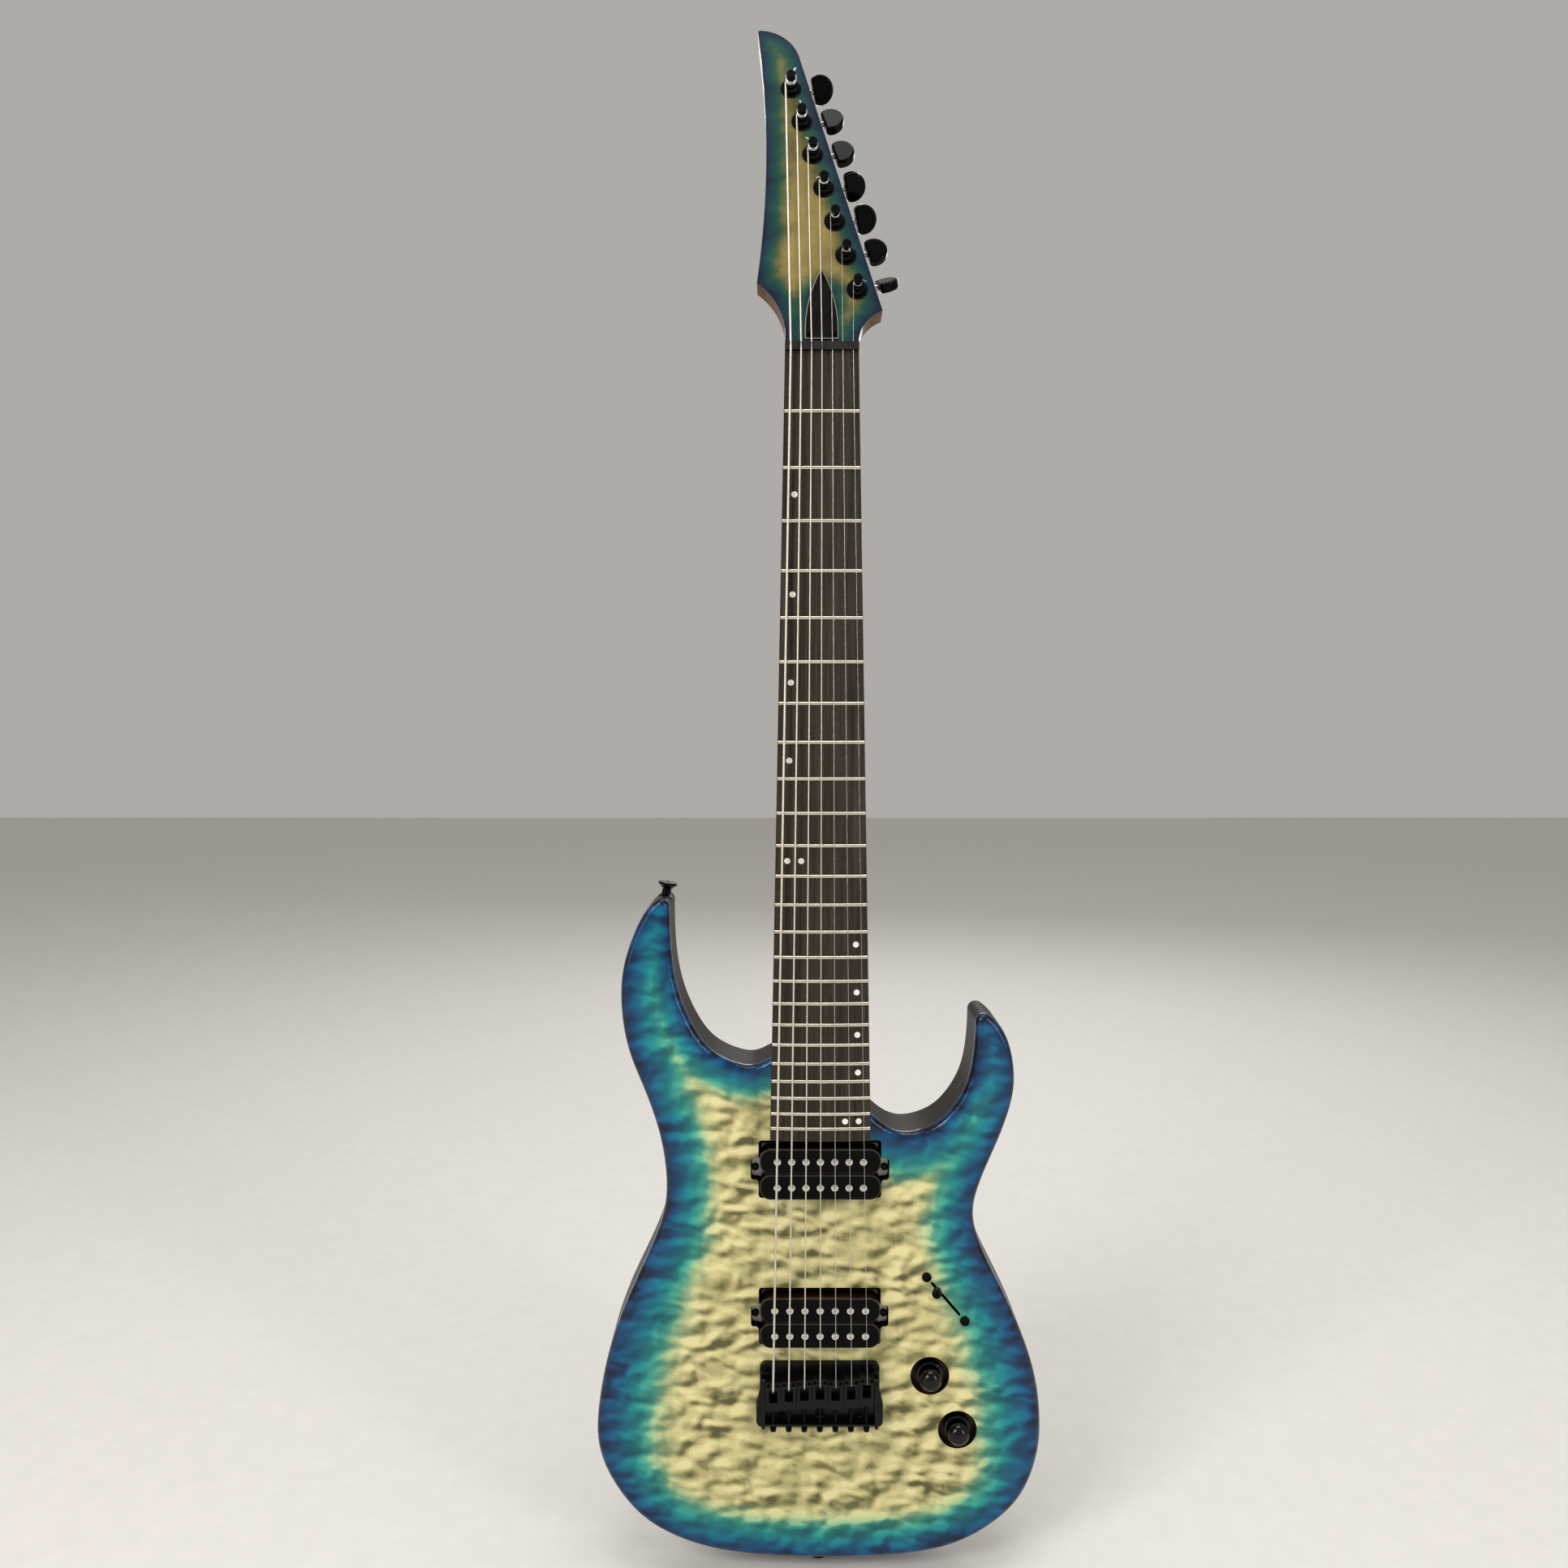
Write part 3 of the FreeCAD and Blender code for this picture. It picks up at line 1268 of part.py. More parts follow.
def baseplate_shape(pole_pitch):
    """The plate under a pickup, with an ear for the mounting screw at each end."""
    half = size["pickup_length"] / 2 - 1.0
    tall = pickup_half_height - 0.8
    ear, ear_tall = ear_reach - 0.7, size["route_ear_height"] / 2 - 1.2
    quarter = [(half, tall), (half, ear_tall), (ear, ear_tall)]
    corners = [(x, up) for x, up in quarter] + [(x, -up) for x, up in reversed(quarter)]
    corners += [(-x, -up) for x, up in quarter] + [(-x, up) for x, up in reversed(quarter)]
    plate = rounded_polygon(corners, 2.0).extrude(Vector(0, 0, size["plate_thickness"]))
    holes = [Part.makeCylinder(1.7, 4, Vector(side * mount_reach, 0, -1)) for side in (-1, 1)]
    for offset in row_offsets():
        for k in range(string_count):
            holes.append(Part.makeCylinder(1.8, 4, Vector((k - (string_count - 1) / 2) * pole_pitch,
                offset, -1)))
    return plate.cut(holes)


plates = []
for name, centre in pickup_centres.items():
    plate = baseplate_shape(pole_pitches[name])
    plate.Placement = at(0, centre, pickup_plate_base)
    plates.append(plate)
keep(feature("pickup_baseplates", Part.makeCompound(plates), Placement()))

mount_places = [(side * mount_reach, centre) for centre in pickup_centres.values(
    ) for side in (-1, 1)]


def screw_shape(head, head_height, shank, length, countersunk=False, socket=True):
    """A screw whose head sits on z = 0, or below it when countersunk."""
    if countersunk:
        top = Part.makeCone(shank / 2, head / 2, head_height, Vector(0, 0, -head_height))
        crown = Part.makeCylinder(head / 2, 0.2)
        screw = top.fuse([crown, Part.makeCylinder(shank / 2, length, Vector(0, 0, -length))])
    else:
        crown = Part.makeCylinder(head / 2, head_height)
        edge = [side for side in crown.Edges if side.BoundBox.ZMin > head_height - 0.01]
        crown = crown.makeFillet(0.45 * head_height, edge)
        screw = crown.fuse(Part.makeCylinder(shank / 2, length, Vector(0, 0, -length)))
    if socket:
        reach, wide = 0.3 * head, 0.1 * head
        low = (0.2 if countersunk else head_height) - 0.35 * head_height
        slots = [Part.makeBox(2 * reach, 2 * wide, 5, Vector(-reach, -wide, low)),
                 Part.makeBox(2 * wide, 2 * reach, 5, Vector(-wide, -reach, low))]
        screw = screw.cut(slots)
    return screw


mount_screw = feature("mount_screw_pattern", screw_shape(5.0, 1.8, 3.0, size["plate_thickness"] + 22.0),
    Placement())
keep(copies("pickup_mount_screws", mount_screw, [at(x, up, pickup_plate_top) for x, up in mount_places]))


def spring_shape():
    """The spring between the route's floor and a baseplate's ear."""
    wire = 0.7
    height = pickup_plate_base - route_floor - wire - 0.1
    helix = Part.makeHelix(height / 5, height, 2.4)
    ring = Part.Wire(Part.makeCircle(wire / 2, Vector(2.4, 0, 0), Vector(0, 1, 0)))
    coil = Part.Wire(helix).makePipeShell([ring], True, True)
    coil.translate(Vector(0, 0, wire / 2 + 0.05))
    return coil


spring = feature("spring_pattern", spring_shape(), Placement())
keep(copies("pickup_springs", spring, [at(x, up, route_floor) for x, up in mount_places]))

# ---------------------------------------------------------------- bridge


def bridge_shape():
    """The plate with its side rails and rear wall, and the holes for strings, saddles and screws."""
    half = (size["string_spread_bridge"] + saddle_pitch) / 2 + size["bridge_side"]
    wide = half + size["bridge_bulge"]
    thick = size["bridge_plate"]
    corners = [(half, bridge_front), (-half, bridge_front), (-half, bridge_rear + 27),
        (-wide, bridge_rear + 17),
               (-wide, bridge_rear), (wide, bridge_rear), (wide, bridge_rear + 17), (half, bridge_rear + 27)]
    plate = rounded_polygon(corners, 4.5).extrude(Vector(0, 0, thick))
    top_rim = [edge for edge in plate.Edges if edge.BoundBox.ZMin > thick - 0.01]
    plate = plate.makeFillet(0.9, top_rim)
    wall, tall = size["bridge_wall"], size["bridge_wall_height"]
    rail_x = half - 1.4
    rails = []
    for side in (-1, 1):
        low_x = min(side * rail_x, side * (rail_x - wall))
        rail = Part.makeBox(wall, size["bridge_length"] - 12.4, thick + tall,
            Vector(low_x, bridge_rear + 3, 0))
        front = [edge for edge in rail.Edges if edge.BoundBox.XLength > 1 and edge.BoundBox.ZMin > 5
                 and edge.BoundBox.YMin > bridge_front - 14]
        rails.append(rail.makeFillet(min(4.0, 0.6 * tall), front))
    rear = Part.makeBox(2 * rail_x, 3.4, thick + tall, Vector(-rail_x, bridge_rear + 3, 0))
    slope = [edge for edge in rear.Edges if edge.BoundBox.XLength > 10 and edge.BoundBox.ZMin > 5
             and edge.BoundBox.YMax < bridge_rear + 3.1]
    rear = rear.makeChamfer(2.2, slope)
    body = plate.fuse(rails + [rear]).removeSplitter()
    cuts = []
    for x in string_xs_bridge:
        cuts.append(Part.makeCylinder(2.9, 8, Vector(x, string_hole_line + 1.2, -2)))
        cuts.append(Part.makeCylinder(
            size["intonation_diameter"] / 2 + 0.15, 20, Vector(x, bridge_rear - 5, intonation_level),
                Vector(0, 1, 0)))
    for x, up in bridge_screw_places:
        cuts.append(Part.makeCylinder(1.75, 8, Vector(x, up, -2)))
        cuts.append(Part.makeCone(1.75, 3.5, 1.8, Vector(x, up, thick - 1.75)))
    return body.cut(cuts)


intonation_level = size["bridge_plate"] + size["saddle_bottom"] + 2.2
keep(feature("bridge_base", bridge_shape(), at(0, 0, face)))
bridge_screw = feature("bridge_screw_pattern", screw_shape(6.2, 1.5, 3.3, 21.0, True), Placement())
keep(copies("bridge_screws", bridge_screw, [at(x, up, plate_top - 0.25) for x, up in bridge_screw_places]))


def intonation_screw_shape(length):
    """A long thin screw along +y, with its head behind the rear wall."""
    shank = Part.makeCylinder(size["intonation_diameter"] / 2, length, Vector(0, 0, 0), Vector(0, 1, 0))
    head = Part.makeCylinder(2.1, 2.0, Vector(0, -2.0, 0), Vector(0, 1, 0))
    slot = Part.makeBox(5, 1.0, 0.8, Vector(-2.5, -2.2, -0.4))
    return shank.fuse(head).cut(slot)


screw_start = bridge_rear + 2.9
intonation_screws = []
for x, crest in zip(string_xs_bridge, crest_lines):
    end = crest - size["saddle_crest"] - size["saddle_slot"] - 0.6
    screw = intonation_screw_shape(end - screw_start)
    screw.Placement = at(x, screw_start, face + intonation_level)
    intonation_screws.append(screw)
keep(feature("intonation_screws", Part.makeCompound(intonation_screws), Placement()))

saddle_width = "(string_spread_bridge / 6 - saddle_gap)"
crest_over_plate = "(%s)" % " + ".join([
    "board_rise", "board_thickness", "fret_height",
        "string_height_saddle - string_clearance - bridge_plate"])
grub_up = "(saddle_front - 1.7)"


def saddle(index, crest):
    """One saddle with its two height screws, drawn about the middle of its crest."""
    front = box(
        "front", ("-%s / 2" % saddle_width, "-saddle_crest", "saddle_bottom"),
        (saddle_width, "saddle_crest + saddle_front", crest_over_plate + " - 0.8 - saddle_bottom"))
    upper = cylinder(
        "crest", ("-%s / 2" % saddle_width, "0", crest_over_plate + " - saddle_crest"), "2 * saddle_crest",
        saddle_width, Rotation(Vector(0, 1, 0), 90))
    cheeks = [box(
        "cheek", (start, "-saddle_crest - saddle_slot", "saddle_bottom"),
        ("2.2", "saddle_slot", crest_over_plate + " - 4 - saddle_bottom"))
        for start in ("-%s / 2" % saddle_width, "%s / 2 - 2.2" % saddle_width)]
    boss = box(
        "boss", ("-%s / 2" % saddle_width, "-saddle_crest - saddle_slot - saddle_boss", "saddle_bottom"),
        (saddle_width, "saddle_boss", crest_over_plate + " - 5 - saddle_bottom"))
    blank = fused("saddle_blank", [front, upper, boss] + cheeks)
    bore = cylinder(
        "bore", ("0", "-saddle_crest - saddle_slot + 1", "saddle_bottom + 2.2"),
        "intonation_diameter + 2 * running_clearance", "saddle_boss + 2", Rotation(Vector(1, 0, 0), 90))
    holes = [cylinder(
        "grub_hole", (x, grub_up, "0"), "grub_diameter + 0.04", "20") for x in ("grub_spacing / 2",
            "-grub_spacing / 2")]
    block = cut("saddle_block", blank, [bore] + holes)
    grubs = [cylinder(
        "grub", (x, grub_up, "running_clearance"), "grub_diameter", crest_over_plate + " - 1.3")
        for x in ("grub_spacing / 2", "-grub_spacing / 2")]
    document.recompute()
    sockets = []
    for grub in grubs:
        centre = grub.Placement.Base + Vector(0, 0, grub.Shape.BoundBox.ZLength - 1.4)
        corners = [centre + Vector(0.75 * math.cos(turn * math.pi / 3),
            0.75 * math.sin(turn * math.pi / 3), 0)
                   for turn in range(6)]
        sockets.append(Part.Face(Part.makePolygon(corners + corners[:1])).extrude(Vector(0, 0, 3)))
    solids = [block.Shape] + [grub.Shape.cut(sockets) for grub in grubs]
    return feature("saddle_%d" % (index + 1), Part.makeCompound(solids),
        at(string_xs_bridge[index], crest, plate_top))


for index, crest in enumerate(crest_lines):
    keep(saddle(index, crest))

# ---------------------------------------------------------------- controls

knob = turned("knob_pattern", [
    ("knob_bore / 2", "5"),
    ("knob_diameter / 2 - 1.6", "5"),
    ("knob_diameter / 2 - 1.6", "0"),
    ("knob_diameter / 2", "0"),
    ("knob_diameter / 2", "4.4"),
    ("knob_diameter / 2 - 1.2", "5"),
    ("knob_diameter / 2 - 1.2", "knob_height"),
    ("0", "knob_height"),
    ("0", "knob_height - 3.4"),
    ("knob_bore / 2", "knob_height - 3.4"),
])
dressed(knob, "Fillet", lambda edge: (
    edge.BoundBox.ZMin > size["knob_height"] - 0.01 and edge.BoundBox.XLength > 8),
        "knob_diameter / 2 - 2.4")
shaft = cylinder("shaft_pattern", ("0", "0", "-11.2"), "shaft_diameter", "knob_height + 7.7")
knob_base = recess_floor + 0.7
document.recompute()
for label, (x, up) in zip(("volume_knob", "tone_knob"), pot_places):
    keep(feature(label, Part.makeCompound([knob.Shape, shaft.Shape]), at(x, up, knob_base)))

pot = turned("pot_pattern", [
    ("shaft_diameter / 2 + running_clearance", "-7.5"),
    ("0", "-7.5"),
    ("0", "-pot_height"),
    ("pot_diameter / 2 - 1", "-pot_height"),
    ("pot_diameter / 2", "-pot_height + 1"),
    ("pot_diameter / 2", "0"),
    ("pot_thread / 2", "0"),
    ("pot_thread / 2", "cavity_ceiling - recess_depth + 3.4"),
    ("shaft_diameter / 2 + running_clearance", "cavity_ceiling - recess_depth + 3.4"),
])
pot_nut_blank = cylinder("pot_washer", ("0", "0", "cavity_ceiling - recess_depth"), "12.5", "0.6")
pot_nut = document.addObject("Part::Prism", "Prism")
pot_nut.Label = "pot_hex"
pot_nut.Polygon = 6
pot_nut.Circumradius = 5.8
pot_nut.Height = 2.0
bind(pot_nut, "Placement.Base.z", "cavity_ceiling - recess_depth + 0.6")
pot_nut_hole = cylinder("pot_nut_hole", ("0", "0", "0"), "pot_thread + 0.04", "20")
pot_fixing = cut("pot_fixing", fused("pot_nut_blank", [pot_nut_blank, pot_nut]), [pot_nut_hole])
document.recompute()
pots = []
for x, up in pot_places:
    for shape in (pot.Shape, pot_fixing.Shape):
        part = shape.copy()
        part.Placement = at(x, up, ceiling).multiply(part.Placement)
        pots.append(part)
keep(feature("pots", Part.makeCompound(pots), Placement()))

pivot_out = face - size["switch_pivot_depth"]
blade_width = 5.0
blade_thickness = 1.0
pin_diameter = 2.0


def lever_shape():
    """The blade and its tip, drawn straight out from the pivot and then thrown to one end."""
    rise = size["switch_pivot_depth"] + size["switch_tip_height"]
    half = blade_thickness / 2
    blade = Part.makeBox(blade_thickness, blade_width, rise + 1, Vector(-half, -blade_width / 2, 0))
    eye = Part.makeCylinder(3.4, blade_thickness, Vector(-half, 0, 0), Vector(1, 0, 0))
    steel = blade.fuse(eye).cut(Part.makeCylinder(pin_diameter / 2 + 0.05, 4, Vector(-2, 0, 0),
        Vector(1, 0, 0)))
    tip = Part.makeCylinder(3.2, 8.6, Vector(0, 0, rise - 4.2))
    tip = tip.makeFillet(2.2, [edge for edge in tip.Edges if edge.BoundBox.ZMin > rise + 4])
    socket = Part.makeBox(blade_thickness, blade_width, rise + 1, Vector(-half, -blade_width / 2, 0))
    lever = Part.makeCompound([steel, tip.cut(socket)])
    lever.rotate(Vector(0, 0, 0), Vector(1, 0, 0), -size["switch_throw"])
    return lever


switch_pivot = switch_frame.multiply(Placement(Vector(0, 0, pivot_out), Rotation()))
keep(feature("switch_lever", lever_shape(), switch_pivot))


def switch_frame_shape():
    """The steel frame under the top: a flange, two side plates and the pivot pin."""
    flange_top = switch_ceiling
    flange = Part.makeBox(13, 54, 1.2, Vector(-6.5, -27, flange_top - 1.2))
    plates = [Part.makeBox(1.2, 34, flange_top - pivot_out + 6,
        Vector(x, -17, pivot_out - 6)) for x in (-5.4, 4.2)]
    pin = Part.makeCylinder(pin_diameter / 2, 10, Vector(-5, 0, pivot_out), Vector(1, 0, 0))
    collars = [Part.makeCylinder(2.2, 3.4, Vector(x, 0, pivot_out), Vector(1, 0, 0)) for x in (-4.3, 0.9)]
    frame_shape = flange.fuse(plates + [pin] + collars)
    slot = Part.makeBox(6.4, 34, 5, Vector(-3.2, -17, flange_top - 2))
    half = size["switch_screw_spacing"] / 2
    holes = [Part.makeCylinder(1.65, 6, Vector(0, side * half, flange_top - 3)) for side in (-1, 1)]
    return frame_shape.cut([slot] + holes)


keep(feature("switch_frame", switch_frame_shape(), switch_frame))
switch_screw = feature("switch_screw_pattern", screw_shape(6.6, 2.0, 3.1, face - switch_ceiling + 2.4),
    Placement())
keep(copies("switch_screws", switch_screw, [
    upright.multiply(Placement(Vector(place.x, place.z, face),
        Rotation())) for place in switch_screw_places]))

cover_face = cavity_face(size["cover_ledge"] - size["cover_clearance"], back)
back_cover = cover_face.extrude(Vector(0, 0, size["cover_thickness"]))
back_cover = back_cover.cut([upright_hole(place.x, place.y, 2.6, back - 1,
    back + 5) for place in cover_screw_places()])
keep(feature("control_cover", back_cover))

jack_frame = Placement(Vector(jack_seat, 0, size["jack_height"]), Rotation(Vector(0, 1, 0), 90))
jack = turned("jack_pattern", [
    ("jack_bore / 2", "-jack_length + 4"),
    ("0", "-jack_length + 4"),
    ("0", "-jack_length"),
    ("jack_barrel / 2 - 1", "-jack_length"),
    ("jack_barrel / 2", "-jack_length + 1"),
    ("jack_barrel / 2", "0"),
    ("jack_flange / 2", "0"),
    ("jack_flange / 2", "0.8"),
    ("jack_flange / 2 - 0.8", "1.6"),
    ("jack_bore / 2", "1.6"),
])
keep(copies("jack_socket", jack, [jack_frame]))

# ---------------------------------------------------------------- fasteners and strap pins

small_screw = feature("small_screw_pattern", screw_shape(3.2, 1.2, 1.6, 8.0), Placement())
wood_screw_places = [head_frame.multiply(Placement(Vector(x, along, 1.6), Rotation())) for x,
    along in cover_screws]
turn_over = Rotation(Vector(1, 0, 0), 180)
wood_screw_places += [frame.multiply(Placement(
    Vector(*tuner_screw_place, -head_back - size["housing_depth"]), turn_over)) for frame in tuner_frames]
long_screw = feature("cover_screw_pattern", screw_shape(4.6, 1.2, 2.2, 11.0), Placement())
document.recompute()
rod_cover_screws = copies("rod_cover_screws", small_screw, wood_screw_places[:3])
housing_screw = feature("housing_screw_pattern", screw_shape(3.2, 1.2, 1.6, size["housing_depth"] + 7.0),
    Placement())
housing_screws = copies("housing_screws", housing_screw, wood_screw_places[3:])
back_screws = copies("back_screws", long_screw, [
    at(place.x, place.y, back, turn_over) for place in cover_screw_places()])
groups = (rod_cover_screws, housing_screws, back_screws)
keep(feature(
    "wood_screws", Part.makeCompound([solid for group in groups for solid in group.Shape.Solids]),
        Placement()))

ring = turned("neck_ferrule_pattern", [
    ("bolt_diameter / 2 + 0.15", "0.6"),
    ("bolt_head / 2 + 0.2", "0"),
    ("ring_diameter / 2 - 0.5", "0"),
    ("ring_diameter / 2", "0.5"),
    ("ring_diameter / 2", "ring_depth"),
    ("bolt_diameter / 2 + 0.15", "ring_depth"),
])
keep(copies("neck_ferrules", ring, [at(x, up, back) for x, up in heel_bolts]))
bolt = feature("neck_bolt_pattern", screw_shape(
    size["bolt_head"], 2.2, size["bolt_diameter"], size["bolt_length"]), Placement())
keep(copies("neck_bolts", bolt, [
    at(x, up, back, turn_over) for x, up in heel_bolts]))

pin = turned("strap_pin_pattern", [
    ("pin_screw / 2 + 0.1", "0"),
    ("pin_flange / 2", "0"),
    ("pin_flange / 2", "1"),
    ("pin_neck / 2", "2.2"),
    ("pin_neck / 2", "6"),
    ("pin_head / 2", "pin_height - 1.6"),
    ("pin_head / 2", "pin_height - 0.5"),
    ("pin_head / 2 - 0.5", "pin_height"),
    ("pin_screw + 0.3", "pin_height"),
    ("pin_screw / 2 + 0.1", "pin_height - 2.6"),
])
end_turn = Rotation(Vector(0, 0, 1), end_direction)
horn_turn = Rotation(Vector(0, 0, 1), horn_direction)
pin_seats = [upright.multiply(Placement(Vector(0, 0, 0), end_turn))]
pin_seats.append(upright.multiply(Placement(horn_seat, horn_turn)))
keep(copies("strap_buttons", pin, pin_seats))
pin_screw = feature("pin_screw_pattern", screw_shape(
    2 * size["pin_screw"], 2.3, size["pin_screw"], size["pin_screw_length"], True), Placement())
lifted = Placement(Vector(0, 0, size["pin_height"] - 0.25), Rotation())
keep(copies("strap_button_screws", pin_screw, [seat.multiply(lifted) for seat in pin_seats]))

# ---------------------------------------------------------------- check and write

document.recompute()
faults = [item.Label for item in document.Objects if {"Invalid", "Error"} & set(item.State)]
faults += [item.Label for item in kept if item.Shape.isNull() or not item.Shape.isValid()]
if faults:
    raise SystemExit("these pieces failed: " + ", ".join(faults))
os.makedirs("parts", exist_ok=True)
for item in kept:
    item.Shape.exportStep("parts/%s.step" % item.Label)
print("wrote %d pieces" % len(kept))
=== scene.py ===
import math

import bmesh
import bpy
import numpy as np
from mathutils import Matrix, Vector


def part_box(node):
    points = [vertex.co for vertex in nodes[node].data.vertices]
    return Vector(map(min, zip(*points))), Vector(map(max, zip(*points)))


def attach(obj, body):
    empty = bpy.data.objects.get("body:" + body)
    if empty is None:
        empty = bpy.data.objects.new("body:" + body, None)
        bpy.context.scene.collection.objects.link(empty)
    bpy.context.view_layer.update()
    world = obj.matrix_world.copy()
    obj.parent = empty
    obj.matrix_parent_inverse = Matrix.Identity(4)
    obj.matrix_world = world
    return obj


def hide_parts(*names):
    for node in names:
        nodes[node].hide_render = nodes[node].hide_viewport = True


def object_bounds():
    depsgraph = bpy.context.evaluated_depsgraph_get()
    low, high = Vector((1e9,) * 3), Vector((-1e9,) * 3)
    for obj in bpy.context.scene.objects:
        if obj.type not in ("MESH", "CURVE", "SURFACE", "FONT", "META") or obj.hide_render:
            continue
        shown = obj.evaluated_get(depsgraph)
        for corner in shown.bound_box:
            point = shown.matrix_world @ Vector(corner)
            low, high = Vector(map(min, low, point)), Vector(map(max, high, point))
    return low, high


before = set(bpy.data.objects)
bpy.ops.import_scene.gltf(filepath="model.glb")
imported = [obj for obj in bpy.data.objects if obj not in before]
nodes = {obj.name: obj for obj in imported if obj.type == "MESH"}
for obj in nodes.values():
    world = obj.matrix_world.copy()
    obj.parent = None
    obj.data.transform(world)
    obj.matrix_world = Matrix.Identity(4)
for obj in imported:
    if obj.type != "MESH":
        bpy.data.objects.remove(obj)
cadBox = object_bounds()
print("frame loaded with", len(nodes), "nodes")

scene = bpy.context.scene

# camera

cameraSetup = {"place": (-0.0246, -0.8, 0.589), "tilt": 86.62, "lens": 26.66, "sensor": 36, "near": 0.01}


def makeCamera(setup):
    data = bpy.data.cameras.new("camera")
    data.lens = setup["lens"]
    data.sensor_width = setup["sensor"]
    data.clip_start = setup["near"]
    camera = bpy.data.objects.new("camera", data)
    camera.location = setup["place"]
    camera.rotation_euler = (math.radians(setup["tilt"]), 0, 0)
    scene.collection.objects.link(camera)
    scene.camera = camera


makeCamera(cameraSetup)

# directions: the headstock leans back from the body's face, and its keys rise along it

headAngles = {"tilt": math.radians(11), "keyRise": math.radians(16.7)}
sideways = Vector((1, 0, 0))
headNormal = Vector((0, -math.cos(headAngles["tilt"]), math.sin(headAngles["tilt"])))
headUp = Vector((0, math.sin(headAngles["tilt"]), math.cos(headAngles["tilt"])))
keyAxis = sideways * math.cos(headAngles["keyRise"]) + headUp * math.sin(headAngles["keyRise"])
headPoints = [vert.co for vert in nodes["headstock_face"].data.vertices]
headLevel = max(point.dot(headNormal) for point in headPoints)
headLow = min(point.dot(headUp) for point in headPoints)

# small helpers for materials

black, white = (0, 0, 0, 1), (1, 1, 1, 1)


def linear(hexText):
    parts = [int(hexText[k:k + 2], 16) / 255 for k in (1, 3, 5)]
    return tuple(p / 12.92 if p < 0.04045 else ((p + 0.055) / 1.055) ** 2.4 for p in parts) + (1.0,)


def addNode(tree, kind, settings=None, **inputs):
    # an input is named by its socket, or by i and the socket's number
    node = tree.nodes.new(kind)
    for name, value in (settings or {}).items():
        setattr(node, name, value)
    for name, value in inputs.items():
        numbered = name[0] == "i" and name[1:].isdigit()
        socket = node.inputs[int(name[1:]) if numbered else name]
        if isinstance(value, bpy.types.NodeSocket):
            tree.links.new(value, socket)
        else:
            socket.default_value = value
    return node


def maths(tree, operation, a, b, clamp=False):
    return addNode(tree, "ShaderNodeMath", {"operation": operation, "use_clamp": clamp}, i0=a, i1=b).outputs[0]


def summed(tree, a, shareA, b, shareB):
    return maths(tree, "ADD", maths(tree, "MULTIPLY", a, shareA), maths(tree, "MULTIPLY", b, shareB))


def swing(tree, value, share):
    # how far a value lies from its middle, times a share
    return maths(tree, "MULTIPLY", maths(tree, "SUBTRACT", value, 0.5), share)


def vectorMaths(tree, operation, a, b, **more):
    node = addNode(tree, "ShaderNodeVectorMath", {"operation": operation}, i0=a, i1=b, **more)
    return node.outputs["Value" if operation == "DOT_PRODUCT" else "Vector"]


def rangeOf(tree, value, source, target):
    node = addNode(tree, "ShaderNodeMapRange", None, i0=value, i1=source[0], i2=source[1],
                   i3=target[0], i4=target[1])
    return node.outputs[0]


def mixColours(tree, factor, a, b, blend="MIX"):
    node = addNode(tree, "ShaderNodeMix", {"data_type": "RGBA", "blend_type": blend}, i0=factor, i6=a, i7=b)
    return node.outputs[2]


def ramp(tree, factor, stops, interpolation="LINEAR"):
    node = addNode(tree, "ShaderNodeValToRGB", None, i0=factor)
    node.color_ramp.interpolation = interpolation
    elements = node.color_ramp.elements
    while len(elements) < len(stops):
        elements.new(0.5)
    for element, (place, colour) in zip(elements, stops):
        element.position = place
        element.color = colour if isinstance(colour, tuple) else linear(colour)
    return node.outputs[0]


def mask(tree, value, low, high):
    return ramp(tree, value, [(low, black), (high, white)])


def scaled(tree, scale):
    coords = addNode(tree, "ShaderNodeTexCoord").outputs["Object"]
    return addNode(tree, "ShaderNodeMapping", None, Vector=coords, Scale=scale).outputs[0]


def flatPlace(tree, cell):
    # a place on the front, counted in cells across and up
    coords = addNode(tree, "ShaderNodeTexCoord").outputs["Object"]
    turned = addNode(tree, "ShaderNodeMapping", None, Vector=coords, Rotation=(math.radians(90), 0, 0))
    return addNode(tree, "ShaderNodeMapping", None, Vector=turned.outputs[0],
                   Scale=(1 / cell[0], 1 / cell[1], 0)).outputs[0]


def edgeDistance(tree):
    return addNode(tree, "ShaderNodeAttribute", {"attribute_name": "edgeDistance"}).outputs["Fac"]


def noise(tree, vector, scale=1.0, detail=3.0, roughness=0.5, distortion=0.0, output="Fac"):
    return addNode(tree, "ShaderNodeTexNoise", None, Vector=vector, Scale=scale, Detail=detail,
                   Roughness=roughness, Distortion=distortion).outputs[output]


def bumpOf(tree, height, strength, distance):
    return addNode(tree, "ShaderNodeBump", None, Height=height, Strength=strength, Distance=distance).outputs[0]


def newMaterial(name, **values):
    material = bpy.data.materials.new(name)
    material.use_nodes = True
    tree = material.node_tree
    shader = tree.nodes["Principled BSDF"]
    for socketName, value in values.items():
        shader.inputs[socketName.replace("_", " ")].default_value = value
    return material, tree, shader


def tintFacing(material, direction, colour, stops):
    # another colour where the surface looks along the direction as much as the stops say
    tree = material.node_tree
    base = tree.nodes["Principled BSDF"].inputs["Base Color"]
    normal = addNode(tree, "ShaderNodeNewGeometry").outputs["True Normal"]
    facing = vectorMaths(tree, "DOT_PRODUCT", normal, tuple(direction))
    tree.links.new(mixColours(tree, ramp(tree, facing, stops), base.links[0].from_socket, linear(colour)), base)


def dress(material, *names):
    for name in names:
        data = nodes[name].data
        data.materials.clear()
        data.materials.append(material)
